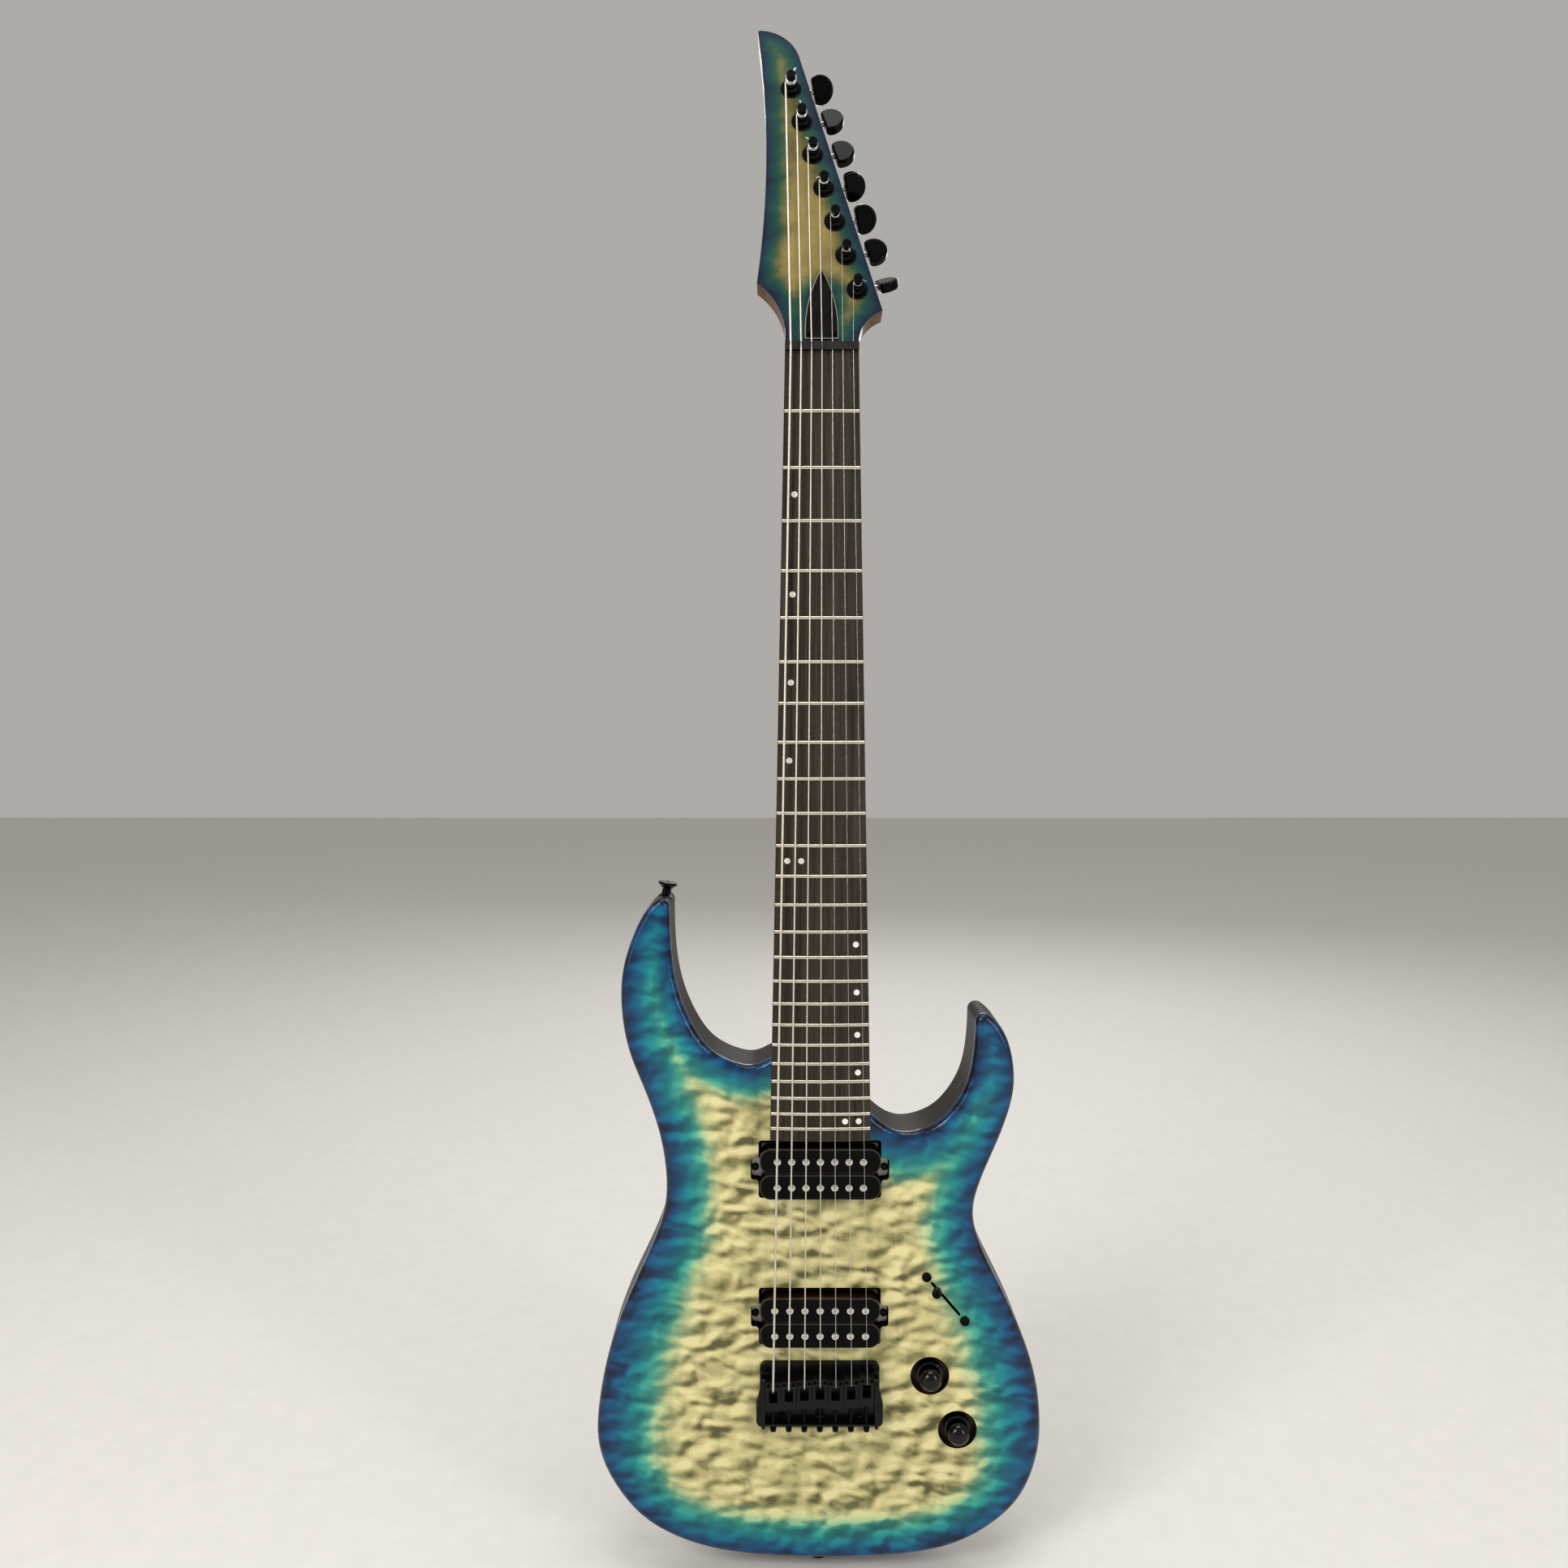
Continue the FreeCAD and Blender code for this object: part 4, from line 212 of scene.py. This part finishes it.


# coloured lacquer over figured maple; the quilt's pillows are painted with light on one side and shade on the
# other and in their creases

lacquer = {
    "Roughness": 0.5, "Specular_IOR_Level": 0.1, "Coat_Weight": 1.0, "Coat_Roughness": 0.03, "Coat_IOR": 1.33,
}
quiltHeights = {
    "wobble": {"scale": 0.55, "detail": 2.0, "roughness": 0.55}, "warp": (1.1, 1.1, 0),
    "big": {"Scale": 1.0, "Smoothness": 0.5, "Randomness": 0.95}, "bigShare": -1.0,
    "small": {"Scale": 2.0, "Smoothness": 0.6, "Randomness": 1.0}, "smallShare": -0.35,
    "ripple": {"scale": 1.2, "detail": 3.0, "roughness": 0.55}, "rippleShare": 0.75,
}
# lightShift, lightGain and creaseShadeShare set how strongly the pillows' light and shade are painted
quiltLooks = {
    "cell": (0.0205, 0.0128), "lightShift": (-0.14, -0.3, 0), "lightGain": 1.3, "floor": 0.42, "creaseShadeShare": 0.22,
    "calmSize": (0.06, 0.045), "calmFrom": (0.35, 0.6), "calmTo": (0.55, 1.15),
    "grainSize": (0.0011, 0.03), "grainDepth": 0.16, "middle": 0.52,
    "cloudSize": (0.045, 0.03), "cloudShare": 0.22, "reach": 0.86, "shadeShare": 0.1, "bare": (0.56, 0.86),
}
quiltStops = [
    (0.0, "#57532f"), (0.25, "#827c4e"), (0.5, "#aea672"), (0.75, "#cbc087"), (1.0, "#ded39b"),
]
# painted light and shade laid over the burst dye, darker and brighter with the pillows
quiltPaintedLight = [(0.0, (0.58, 0.58, 0.58, 1)), (0.5, (0.95, 0.95, 0.95, 1)), (1.0, (1.45, 1.45, 1.4, 1))]
burstStops = [
    (0.0, "#001228"), (0.05, "#00264a"), (0.15, "#004066"), (0.28, "#005c72"), (0.42, "#107574"),
    (0.54, "#3f8d78"), (0.68, "#82a67c"), (0.82, "#b0b27c"), (1.0, "#bdb680"),
]
headLooks = {"cell": (0.03, 0.02), "cloudShare": 0.55, "grainSize": (0.0012, 0.05), "tone": (0.75, 0.35)}
headStops = [
    (0.0, "#021026"), (0.14, "#04263a"), (0.34, "#063c3c"), (0.52, "#1f4a36"), (0.7, "#5d5c36"),
    (1.0, "#8d7d48"),
]
headLight = [(0.25, (0.6, 0.58, 0.55, 1)), (0.75, (1.25, 1.22, 1.15, 1))]


def quiltGroup(looks):
    # the height of the quilt's pillows, from which their painted light and shade are taken: large and small
    # pillows with a ripple, all bent by one wobble
    tree = bpy.data.node_groups.new("quiltHeight", "ShaderNodeTree")
    tree.interface.new_socket("Vector", in_out="INPUT", socket_type="NodeSocketVector")
    tree.interface.new_socket("Height", in_out="OUTPUT", socket_type="NodeSocketFloat")
    start = tree.nodes.new("NodeGroupInput").outputs[0]
    wobble = noise(tree, start, output="Color", **looks["wobble"])
    centred = vectorMaths(tree, "SUBTRACT", wobble, (0.5, 0.5, 0.5))
    moved = vectorMaths(tree, "MULTIPLY_ADD", centred, looks["warp"], i2=start)
    big, small = (
        addNode(tree, "ShaderNodeTexVoronoi", {"feature": "SMOOTH_F1", "voronoi_dimensions": "2D"},
                Vector=moved, **looks[size]).outputs["Distance"] for size in ("big", "small"))
    pillows = summed(tree, big, looks["bigShare"], small, looks["smallShare"])
    ripple = maths(tree, "MULTIPLY", noise(tree, moved, **looks["ripple"]), looks["rippleShare"])
    tree.links.new(maths(tree, "ADD", pillows, ripple), tree.nodes.new("NodeGroupOutput").inputs[0])
    return tree


def makeTopMaterial(looks):
    material, tree, shader = newMaterial("quiltedTop", **lacquer)
    place = flatPlace(tree, looks["cell"])
    group = quiltGroup(quiltHeights)
    here, there = (
        addNode(tree, "ShaderNodeGroup", {"node_tree": group}, Vector=spot).outputs[0]
        for spot in (place, vectorMaths(tree, "ADD", place, looks["lightShift"])))
    # painted light and shade: the height's change along one direction lights one side of each pillow and shades
    # the other
    paintedSideLight = maths(tree, "MULTIPLY", maths(tree, "SUBTRACT", here, there), looks["lightGain"])
    # painted shade in the creases between the pillows
    paintedCreaseShade = maths(tree, "MULTIPLY", maths(tree, "ADD", here, looks["floor"]), looks["creaseShadeShare"])
    calm = noise(tree, flatPlace(tree, looks["calmSize"]), 1.0, 2.0, 0.5)
    paintedRelief = maths(tree, "MULTIPLY", maths(tree, "ADD", paintedSideLight, paintedCreaseShade),
                   rangeOf(tree, calm, looks["calmFrom"], looks["calmTo"]))
    grain = noise(tree, flatPlace(tree, looks["grainSize"]), 1.0, 3.0, 0.65)
    # painted light and shade of the pillows plus the real grain
    shade = maths(tree, "ADD", paintedRelief, swing(tree, grain, looks["grainDepth"]))
    shade = maths(tree, "ADD", shade, looks["middle"], clamp=True)
    cloud = noise(tree, flatPlace(tree, looks["cloudSize"]), 1.0, 4.0, 0.6)
    distance = maths(tree, "MULTIPLY", edgeDistance(tree), looks["reach"])
    distance = maths(tree, "ADD", distance, swing(tree, cloud, looks["cloudShare"]))
    distance = maths(tree, "ADD", distance, swing(tree, shade, looks["shadeShare"]))
    dye = ramp(tree, distance, burstStops)
    # the burst dye, painted lighter and darker with the pillows' light and shade
    dyeWithPaintedShade = mixColours(tree, 1.0, dye, ramp(tree, shade, quiltPaintedLight), "MULTIPLY")
    # the maple's colour, lighter and darker with the painted light and shade and the grain
    wood = ramp(tree, shade, quiltStops, "EASE")
    colour = mixColours(tree, mask(tree, distance, *looks["bare"]), dyeWithPaintedShade, wood)
    tree.links.new(colour, shader.inputs["Base Color"])
    return material


def makeHeadMaterial(looks):
    material, tree, shader = newMaterial("headVeneer", **lacquer)
    cloud = noise(tree, flatPlace(tree, looks["cell"]), 1.0, 4.0, 0.6, 0.6)
    grain = noise(tree, flatPlace(tree, looks["grainSize"]), 1.0, 3.0, 0.65)
    distance = maths(tree, "ADD", edgeDistance(tree), swing(tree, cloud, looks["cloudShare"]))
    tone = summed(tree, cloud, looks["tone"][0], grain, looks["tone"][1])
    colour = mixColours(tree, 1.0, ramp(tree, distance, headStops), ramp(tree, tone, headLight), "MULTIPLY")
    tree.links.new(colour, shader.inputs["Base Color"])
    return material


topMaterial = makeTopMaterial(quiltLooks)
headMaterial = makeHeadMaterial(headLooks)

# plain woods: a size is the width and the length of a streak

woodLooks = {
    "bodyWood": {
        "dark": "#0f0c0a", "light": "#2a231e", "size": (0.003, 0.09), "coat": 0.12, "rough": 0.5, "bump": 0.12,
    },
    "neckWood": {
        "dark": "#38241a", "light": "#7a5538", "size": (0.004, 0.12), "coat": 0.35, "rough": 0.42, "bump": 0.12,
    },
    "boardWood": {
        "dark": "#15120f", "light": "#463e35", "size": (0.0013, 0.06), "coat": 0.0, "rough": 0.5, "bump": 0.35,
    },
    "routeWood": {
        "dark": "#1d1009", "light": "#43281a", "size": (0.002, 0.04), "coat": 0.2, "rough": 0.5, "bump": 0.12,
    },
}
grainLooks = {"broad": (0.25, 0.5), "pores": (5, 12), "poreEdge": (0.56, 0.66), "poreDepth": 0.55}
routeFloors = {"colour": "#2a160c", "stops": [(0.7, black), (0.9, white)]}


def makeWood(name):
    looks = woodLooks[name]
    material, tree, shader = newMaterial(name, Roughness=looks["rough"], Specular_IOR_Level=0.12,
                                         Coat_Weight=looks["coat"], Coat_Roughness=0.1)

    def stretched(across=1, along=1):
        wide, long = looks["size"]
        return scaled(tree, (across / wide, across / wide, along / long))

    streaks = noise(tree, stretched(), 1.0, 5.0, 0.62, 0.35)
    broad = noise(tree, stretched(*grainLooks["broad"]), 1.0, 2.0)
    pores = mask(tree, noise(tree, stretched(*grainLooks["pores"]), 1.0, 2.0, 0.7), *grainLooks["poreEdge"])
    tone = summed(tree, streaks, 0.65, broad, 0.35)
    colour = ramp(tree, tone, [(0.3, looks["dark"]), (0.7, looks["light"])])
    poreShare = maths(tree, "MULTIPLY", pores, grainLooks["poreDepth"])
    colour = mixColours(tree, poreShare, colour, linear(looks["dark"]))
    tree.links.new(colour, shader.inputs["Base Color"])
    height = maths(tree, "SUBTRACT", maths(tree, "MULTIPLY", streaks, 0.3), pores)
    tree.links.new(bumpOf(tree, height, looks["bump"], 0.0002), shader.inputs["Normal"])
    return material


bodyMaterial, neckMaterial, boardMaterial, routeMaterial = (makeWood(name) for name in woodLooks)
tintFacing(bodyMaterial, (0, -1, 0), routeFloors["colour"], routeFloors["stops"])

# metals and plastics: the speck is how far the colour strays

finishLooks = {
    "blackHardware": {"Base_Color": "#0b0b0c", "Metallic": 0.85, "Roughness": 0.26, "speck": 0.1},
    "blackBridge": {"Base_Color": "#0c0c0d", "Metallic": 0.6, "Roughness": 0.3, "speck": 0.12},
    "bobbinBlack": {"Base_Color": "#010101", "Specular_IOR_Level": 0.08, "Roughness": 0.1, "speck": 0.05},
    "buttonBlack": {"Base_Color": "#030202", "Specular_IOR_Level": 0.08, "Roughness": 0.14, "speck": 0.05},
    "knobBlack": {"Base_Color": "#030202", "Specular_IOR_Level": 0.3, "Roughness": 0.06, "speck": 0.03},
    "nickel": {"Base_Color": "#d6d3cc", "Metallic": 1.0, "Roughness": 0.12, "speck": 0.14},
    "fretWire": {"Base_Color": "#d9d2c0", "Metallic": 1.0, "Roughness": 0.24, "speck": 0.12},
    "plainSteel": {"Base_Color": "#c9c8c6", "Metallic": 1.0, "Roughness": 0.25, "speck": 0.1},
    "greySteel": {"Base_Color": "#8f8d8a", "Metallic": 1.0, "Roughness": 0.38, "speck": 0.2},
    "ceramic": {"Base_Color": "#2a2a2b", "Roughness": 0.6, "speck": 0.3},
    "satinBlack": {"Base_Color": "#0a0808", "Specular_IOR_Level": 0.1, "Roughness": 0.45, "speck": 0.25},
    "nutBlack": {"Base_Color": "#0d0d0d", "Roughness": 0.35, "speck": 0.2},
    "pearl": {"Base_Color": "#e9e6db", "Roughness": 0.25, "speck": 0.2},
}
finishLooks["rodCoverBlack"] = finishLooks["satinBlack"]
smudgeLooks = {"coarse": 90, "fine": 1400, "range": (0.3, 0.7), "lift": 0.0008, "roughness": (0.8, 1.3)}
plyEdgesAndPaintedHighlights = {
    # painted highlight along the bobbins' chamfers
    "bobbinBlack": {"direction": (0, -1, 0), "colour": "#34322e", "low": 0.6, "high": 0.8, "soft": 0.05},
    # the truss rod cover's cream ply showing at its bevel
    "rodCoverBlack": {"direction": headNormal, "colour": "#a9a391", "low": 0.5, "high": 0.85, "soft": 0.05},
}


def makeFinish(name):
    looks = dict(finishLooks[name])
    speck = looks.pop("speck")
    base = linear(looks.pop("Base_Color"))
    rough = looks["Roughness"]
    material, tree, shader = newMaterial(name, **looks)
    smudge = noise(tree, scaled(tree, (smudgeLooks["coarse"],) * 3), 1.0, 5.0, 0.65)
    fine = noise(tree, scaled(tree, (smudgeLooks["fine"],) * 3), 1.0, 2.0, 0.6)
    tone = summed(tree, smudge, 0.7, fine, 0.3)
    low, high = smudgeLooks["range"]
    lighter = tuple(min(1.0, c * (1 + speck) + smudgeLooks["lift"]) for c in base[:3]) + (1.0,)
    darker = tuple(c * (1 - speck) for c in base[:3]) + (1.0,)
    tree.links.new(ramp(tree, tone, [(low, darker), (high, lighter)]), shader.inputs["Base Color"])
    target = [rough * share for share in smudgeLooks["roughness"]]
    tree.links.new(rangeOf(tree, tone, (low, high), target), shader.inputs["Roughness"])
    tree.links.new(bumpOf(tree, fine, 0.03, 0.0001), shader.inputs["Normal"])
    return material


finishes = {name: makeFinish(name) for name in finishLooks}

# a bevel that looks away from the flat face shows as a thin pale line: a painted highlight on the bobbins'
# chamfers, the cream ply of the truss rod cover

for name, looks in plyEdgesAndPaintedHighlights.items():
    low, high, soft = looks["low"], looks["high"], looks["soft"]
    tintFacing(finishes[name], looks["direction"], looks["colour"],
               [(low - soft, black), (low, white), (high, white), (high + soft, black)])

# wire wound on a core or on a bobbin: one band of the wave for each turn, with painted shade in the groove
# between turns

windingLooks = {
    "woundWire": {"colour": "#efe8d8", "pitch": 0.0006, "rough": 0.42},
    "coilWire": {"colour": "#5e2f17", "pitch": 0.0004, "rough": 0.4},
}


def makeWindings(name):
    looks = windingLooks[name]
    material, tree, shader = newMaterial(name, Metallic=1.0, Roughness=looks["rough"])
    settings = {"wave_type": "BANDS", "bands_direction": "Z", "wave_profile": "SIN"}
    wave = addNode(tree, "ShaderNodeTexWave", settings, Vector=scaled(tree, (1, 1, 1)),
                   Scale=math.pi / 10 / looks["pitch"]).outputs["Fac"]
    dull = noise(tree, scaled(tree, (300, 300, 60)))
    base = linear(looks["colour"])
    # painted shade: the wire darkens towards the groove between turns
    dark = tuple(c * 0.45 for c in base[:3]) + (1.0,)
    tone = summed(tree, wave, 0.7, dull, 0.4)
    tree.links.new(ramp(tree, tone, [(0.1, dark), (0.7, base)]), shader.inputs["Base Color"])
    tree.links.new(bumpOf(tree, wave, 0.5, 0.0001), shader.inputs["Normal"])
    return material


# which piece wears what

sevens = [str(k) for k in range(1, 8)]
dress(bodyMaterial, "body_core")
dress(neckMaterial, "neck")
dress(boardMaterial, "fingerboard")
dress(finishes["pearl"], "fret_markers")
dress(finishes["fretWire"], "frets")
dress(finishes["nutBlack"], "nut")
dress(finishes["rodCoverBlack"], "truss_rod_cover")
dress(finishes["greySteel"], "truss_rod", "pickup_baseplates", "pickup_springs", "pots", "switch_frame")
dress(finishes["blackHardware"], "tuner_housings", "tuner_bushings", "string_ferrules", "bridge_screws",
      "intonation_screws", "pickup_mount_screws", "switch_screws", "jack_socket", "wood_screws", "neck_ferrules",
      "neck_bolts", "strap_buttons", "strap_button_screws", *["tuner_post_" + k for k in sevens])
dress(finishes["blackBridge"], "bridge_base", *["saddle_" + k for k in sevens])
dress(finishes["bobbinBlack"], "neck_pickup_bobbins", "bridge_pickup_bobbins")
dress(finishes["nickel"], "pole_screws")
dress(finishes["ceramic"], "pickup_magnets")
dress(finishes["satinBlack"], "control_cover")
dress(finishes["knobBlack"], "volume_knob", "tone_knob")
dress(makeWindings("coilWire"), "pickup_coils")
dress(makeWindings("woundWire"), "wound_strings")
dress(finishes["plainSteel"], "plain_strings")
print("materials made")

# keys and switch: the outer end is black, the rest is bright

tipLengths = {"button": 0.0157, "cap": 0.0095}


def blackEnd(name, axis, length, stemMaterial):
    dress(stemMaterial, name)
    data = nodes[name].data
    data.materials.append(finishes["buttonBlack"])
    limit = max(vert.co.dot(axis) for vert in data.vertices) - length
    for face in data.polygons:
        face.material_index = int(face.center.dot(axis) > limit)


for k in sevens:
    blackEnd("tuner_key_" + k, keyAxis, tipLengths["button"], finishes["nickel"])
blackEnd("switch_lever", Vector((0, -1, 0)), tipLengths["cap"], finishes["greySteel"])

# turns of string on the posts: what stands out from the post above the bushing is wire

postLooks = {"wrapLow": 0.0078, "capLow": 0.0114, "top": 0.0144, "waist": 0.00257, "cap": 0.00303}


def brightTurns(name):
    data = nodes[name].data
    data.materials.append(finishes["plainSteel"])
    wheel = [vert.co for vert in data.vertices if vert.co.dot(headNormal) < headLevel]
    middles = []
    for axis in (sideways, headUp):
        extent = [place.dot(axis) for place in wheel]
        middles.append((min(extent) + max(extent)) / 2)
    for face in data.polygons:
        height = face.center.dot(headNormal) - headLevel
        away = math.hypot(face.center.x - middles[0], face.center.dot(headUp) - middles[1])
        limit = postLooks["cap"] if height > postLooks["capLow"] else postLooks["waist"]
        if postLooks["wrapLow"] < height < postLooks["top"] and away > limit:
            face.material_index = 1


for k in sevens:
    brightTurns("tuner_post_" + k)

# the figured skins, cut finely enough to carry the distance to their edge

skinLooks = {
    "step": 0.004, "rimStep": 0.001, "onLevel": 1e-5, "weld": 2e-6, "cut": 1e-6, "chunks": 60,
    "wallFacing": 0.35, "wallGap": 0.0035, "backFacing": -0.5, "crease": 32,
}
burstReach = {
    "heights": (0.0, 0.03, 0.09, 0.17, 0.26, 0.33, 0.40, 0.46),
    "outer": (0.040, 0.043, 0.060, 0.056, 0.042, 0.045, 0.044, 0.04),
    "inner": 0.03, "innerFrom": 0.31, "innerSides": (-0.122, 0.102), "head": 0.019,
}
rimGaps = {"pocketHalf": 0.0347, "pocketLow": 0.29, "headLow": headLow + 0.001}


def edgePoints(bm, normal, level):
    # the longest chain of edges on one level, sampled evenly
    chosen = [edge for edge in bm.edges
              if all(abs(vert.co.dot(normal) - level) < skinLooks["onLevel"] for vert in edge.verts)
              and any(abs(face.normal.dot(normal)) < 0.5 for face in edge.link_faces)]
    groups = {}
    for edge in chosen:
        for vert in edge.verts:
            groups.setdefault(vert.index, []).append(edge)
    seen, best = set(), []
    for edge in chosen:
        if edge.index in seen:
            continue
        stack, chain = [edge], []
        seen.add(edge.index)
        while stack:
            current = stack.pop()
            chain.append(current)
            for vert in current.verts:
                for other in groups[vert.index]:
                    if other.index not in seen:
                        seen.add(other.index)
                        stack.append(other)
        if sum(e.calc_length() for e in chain) > sum(e.calc_length() for e in best):
            best = chain
    points = []
    for edge in best:
        a, b = (vert.co for vert in edge.verts)
        count = max(1, int((b - a).length / skinLooks["rimStep"]))
        points += [a.lerp(b, (k + 0.5) / count) for k in range(count)]
    return points


def rimDistance(mesh, up, outline, spread):
    # for each vertex: the plain gap to the rim, and the gap as a share of the burst's width there
    rim = np.array([(p.x, p.dot(up)) for p in outline])
    spots = np.array([(v.co.x, v.co.dot(up)) for v in mesh.vertices])
    widths = spread(rim[:, 0], rim[:, 1])
    gaps, shares = [], []
    for part in np.array_split(spots, skinLooks["chunks"]):
        away = np.sqrt(((part[:, None, :] - rim[None]) ** 2).sum(2))
        gaps.append(away.min(1))
        shares.append((away / widths).min(1))
    return np.concatenate(gaps), np.concatenate(shares)


def figuredSkin(node, name, normal, up, level, keepPoint, spread, material):
    bm = bmesh.new()
    bm.from_mesh(nodes[node].data)
    bmesh.ops.remove_doubles(bm, verts=bm.verts, dist=skinLooks["weld"])
    bm.normal_update()
    bm.verts.index_update()
    bm.edges.index_update()
    outline = [p for p in edgePoints(bm, normal, level) if keepPoint(p)]
    for axis in (sideways, up):
        extent = [vert.co.dot(axis) for vert in bm.verts]
        low, high = min(extent), max(extent)
        for k in range(1, int((high - low) / skinLooks["step"]) + 1):
            place = axis * (low + k * skinLooks["step"])
            bmesh.ops.bisect_plane(bm, geom=bm.verts[:] + bm.edges[:] + bm.faces[:], dist=skinLooks["cut"],
                                   plane_co=place, plane_no=axis)
    bm.normal_update()
    mesh = bpy.data.meshes.new(name)
    bm.to_mesh(mesh)
    bm.free()
    gaps, shares = rimDistance(mesh, up, outline, spread)
    layer = mesh.attributes.new("edgeDistance", "FLOAT", "POINT")
    layer.data.foreach_set("value", shares.astype(np.float32))
    mesh.materials.append(material)
    mesh.materials.append(routeMaterial)
    for face in mesh.polygons:
        face.use_smooth = True
        facing = face.normal.dot(normal)
        inside = min(gaps[v] for v in face.vertices) > skinLooks["wallGap"]
        wall = inside and abs(facing) < skinLooks["wallFacing"]
        face.material_index = int(wall or facing < skinLooks["backFacing"])
    piece = bpy.data.objects.new(name, mesh)
    scene.collection.objects.link(piece)
    split = piece.modifiers.new("sharpEdges", "EDGE_SPLIT")
    split.split_angle = math.radians(skinLooks["crease"])
    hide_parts(node)
    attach(piece, "guitar")
    print(name, "has", len(mesh.polygons), "faces and", len(outline), "edge points")


def bodySpread(x, z):
    left, right = burstReach["innerSides"]
    outer = np.interp(z, burstReach["heights"], burstReach["outer"])
    return np.where((z > burstReach["innerFrom"]) & (x > left) & (x < right), burstReach["inner"], outer)


def headSpread(x, up):
    return np.full_like(x, burstReach["head"])


figuredSkin(
    "body_top", "quiltedTopSkin", Vector((0, -1, 0)), Vector((0, 0, 1)), -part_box("body_top")[1].y,
    lambda p: abs(p.x) >= rimGaps["pocketHalf"] or p.z <= rimGaps["pocketLow"],
    bodySpread, topMaterial)
figuredSkin(
    "headstock_face", "headVeneerSkin", headNormal, headUp, headLevel,
    lambda p: p.dot(headUp) > rimGaps["headLow"], headSpread, headMaterial)

# floor and light

stageLooks = {
    "floorSize": 12.0, "drop": 0.0002, "floorColour": "#dedbd6", "speckle": (60, 60, 60), "speckleDark": 0.96,
    "world": "#dedbd6", "worldStrength": 0.58,
}
lights = {
    "key": {"place": (-1.3, -1.5, 1.7), "aim": (0, 0, 0.5), "size": (0.9, 0.9), "power": 24},
    "fill": {"place": (1.5, -1.4, 1.0), "aim": (0, 0, 0.4), "size": (0.5, 1.4), "power": 8},
    "top": {"place": (0.1, -0.3, 2.6), "aim": (0, 0, 0.5), "size": (1.6, 0.8), "power": 20},
    "leftStrip": {"place": (-1.25, -1.15, 0.8), "aim": (0, 0, 0.5), "size": (0.09, 1.1), "power": 4},
    "rightStrip": {"place": (1.25, -1.15, 0.8), "aim": (0, 0, 0.5), "size": (0.09, 1.1), "power": 4},
    "back": {"place": (0.4, 1.8, 1.6), "aim": (0, 0, 0.5), "size": (1.4, 1.0), "power": 14},
}


def makeFloor(looks):
    half = looks["floorSize"] / 2
    level = cadBox[0].z - looks["drop"]
    corners = [(-half, -half, level), (half, -half, level), (half, half, level), (-half, half, level)]
    mesh = bpy.data.meshes.new("floor")
    mesh.from_pydata(corners, [], [(0, 1, 2, 3)])
    material, tree, shader = newMaterial("floorPaper", Roughness=0.8)
    speckle = noise(tree, scaled(tree, looks["speckle"]))
    base = linear(looks["floorColour"])
    dark = tuple(c * looks["speckleDark"] for c in base[:3]) + (1,)
    tree.links.new(ramp(tree, speckle, [(0.3, dark), (0.7, base)]), shader.inputs["Base Color"])
    mesh.materials.append(material)
    floor = bpy.data.objects.new("floor", mesh)
    scene.collection.objects.link(floor)


def makeLights(looks):
    world = bpy.data.worlds.new("studio")
    world.use_nodes = True
    background = world.node_tree.nodes["Background"]
    background.inputs["Color"].default_value = linear(looks["world"])
    background.inputs["Strength"].default_value = looks["worldStrength"]
    scene.world = world
    for name, light in lights.items():
        data = bpy.data.lights.new(name, "AREA")
        data.shape = "RECTANGLE"
        data.size, data.size_y = light["size"]
        data.energy = light["power"]
        lamp = bpy.data.objects.new(name, data)
        lamp.location = light["place"]
        lamp.rotation_euler = (Vector(light["aim"]) - lamp.location).to_track_quat("-Z", "Y").to_euler()
        scene.collection.objects.link(lamp)
    scene.view_settings.view_transform = "Standard"


makeFloor(stageLooks)
makeLights(stageLooks)
print("stage and lights made")
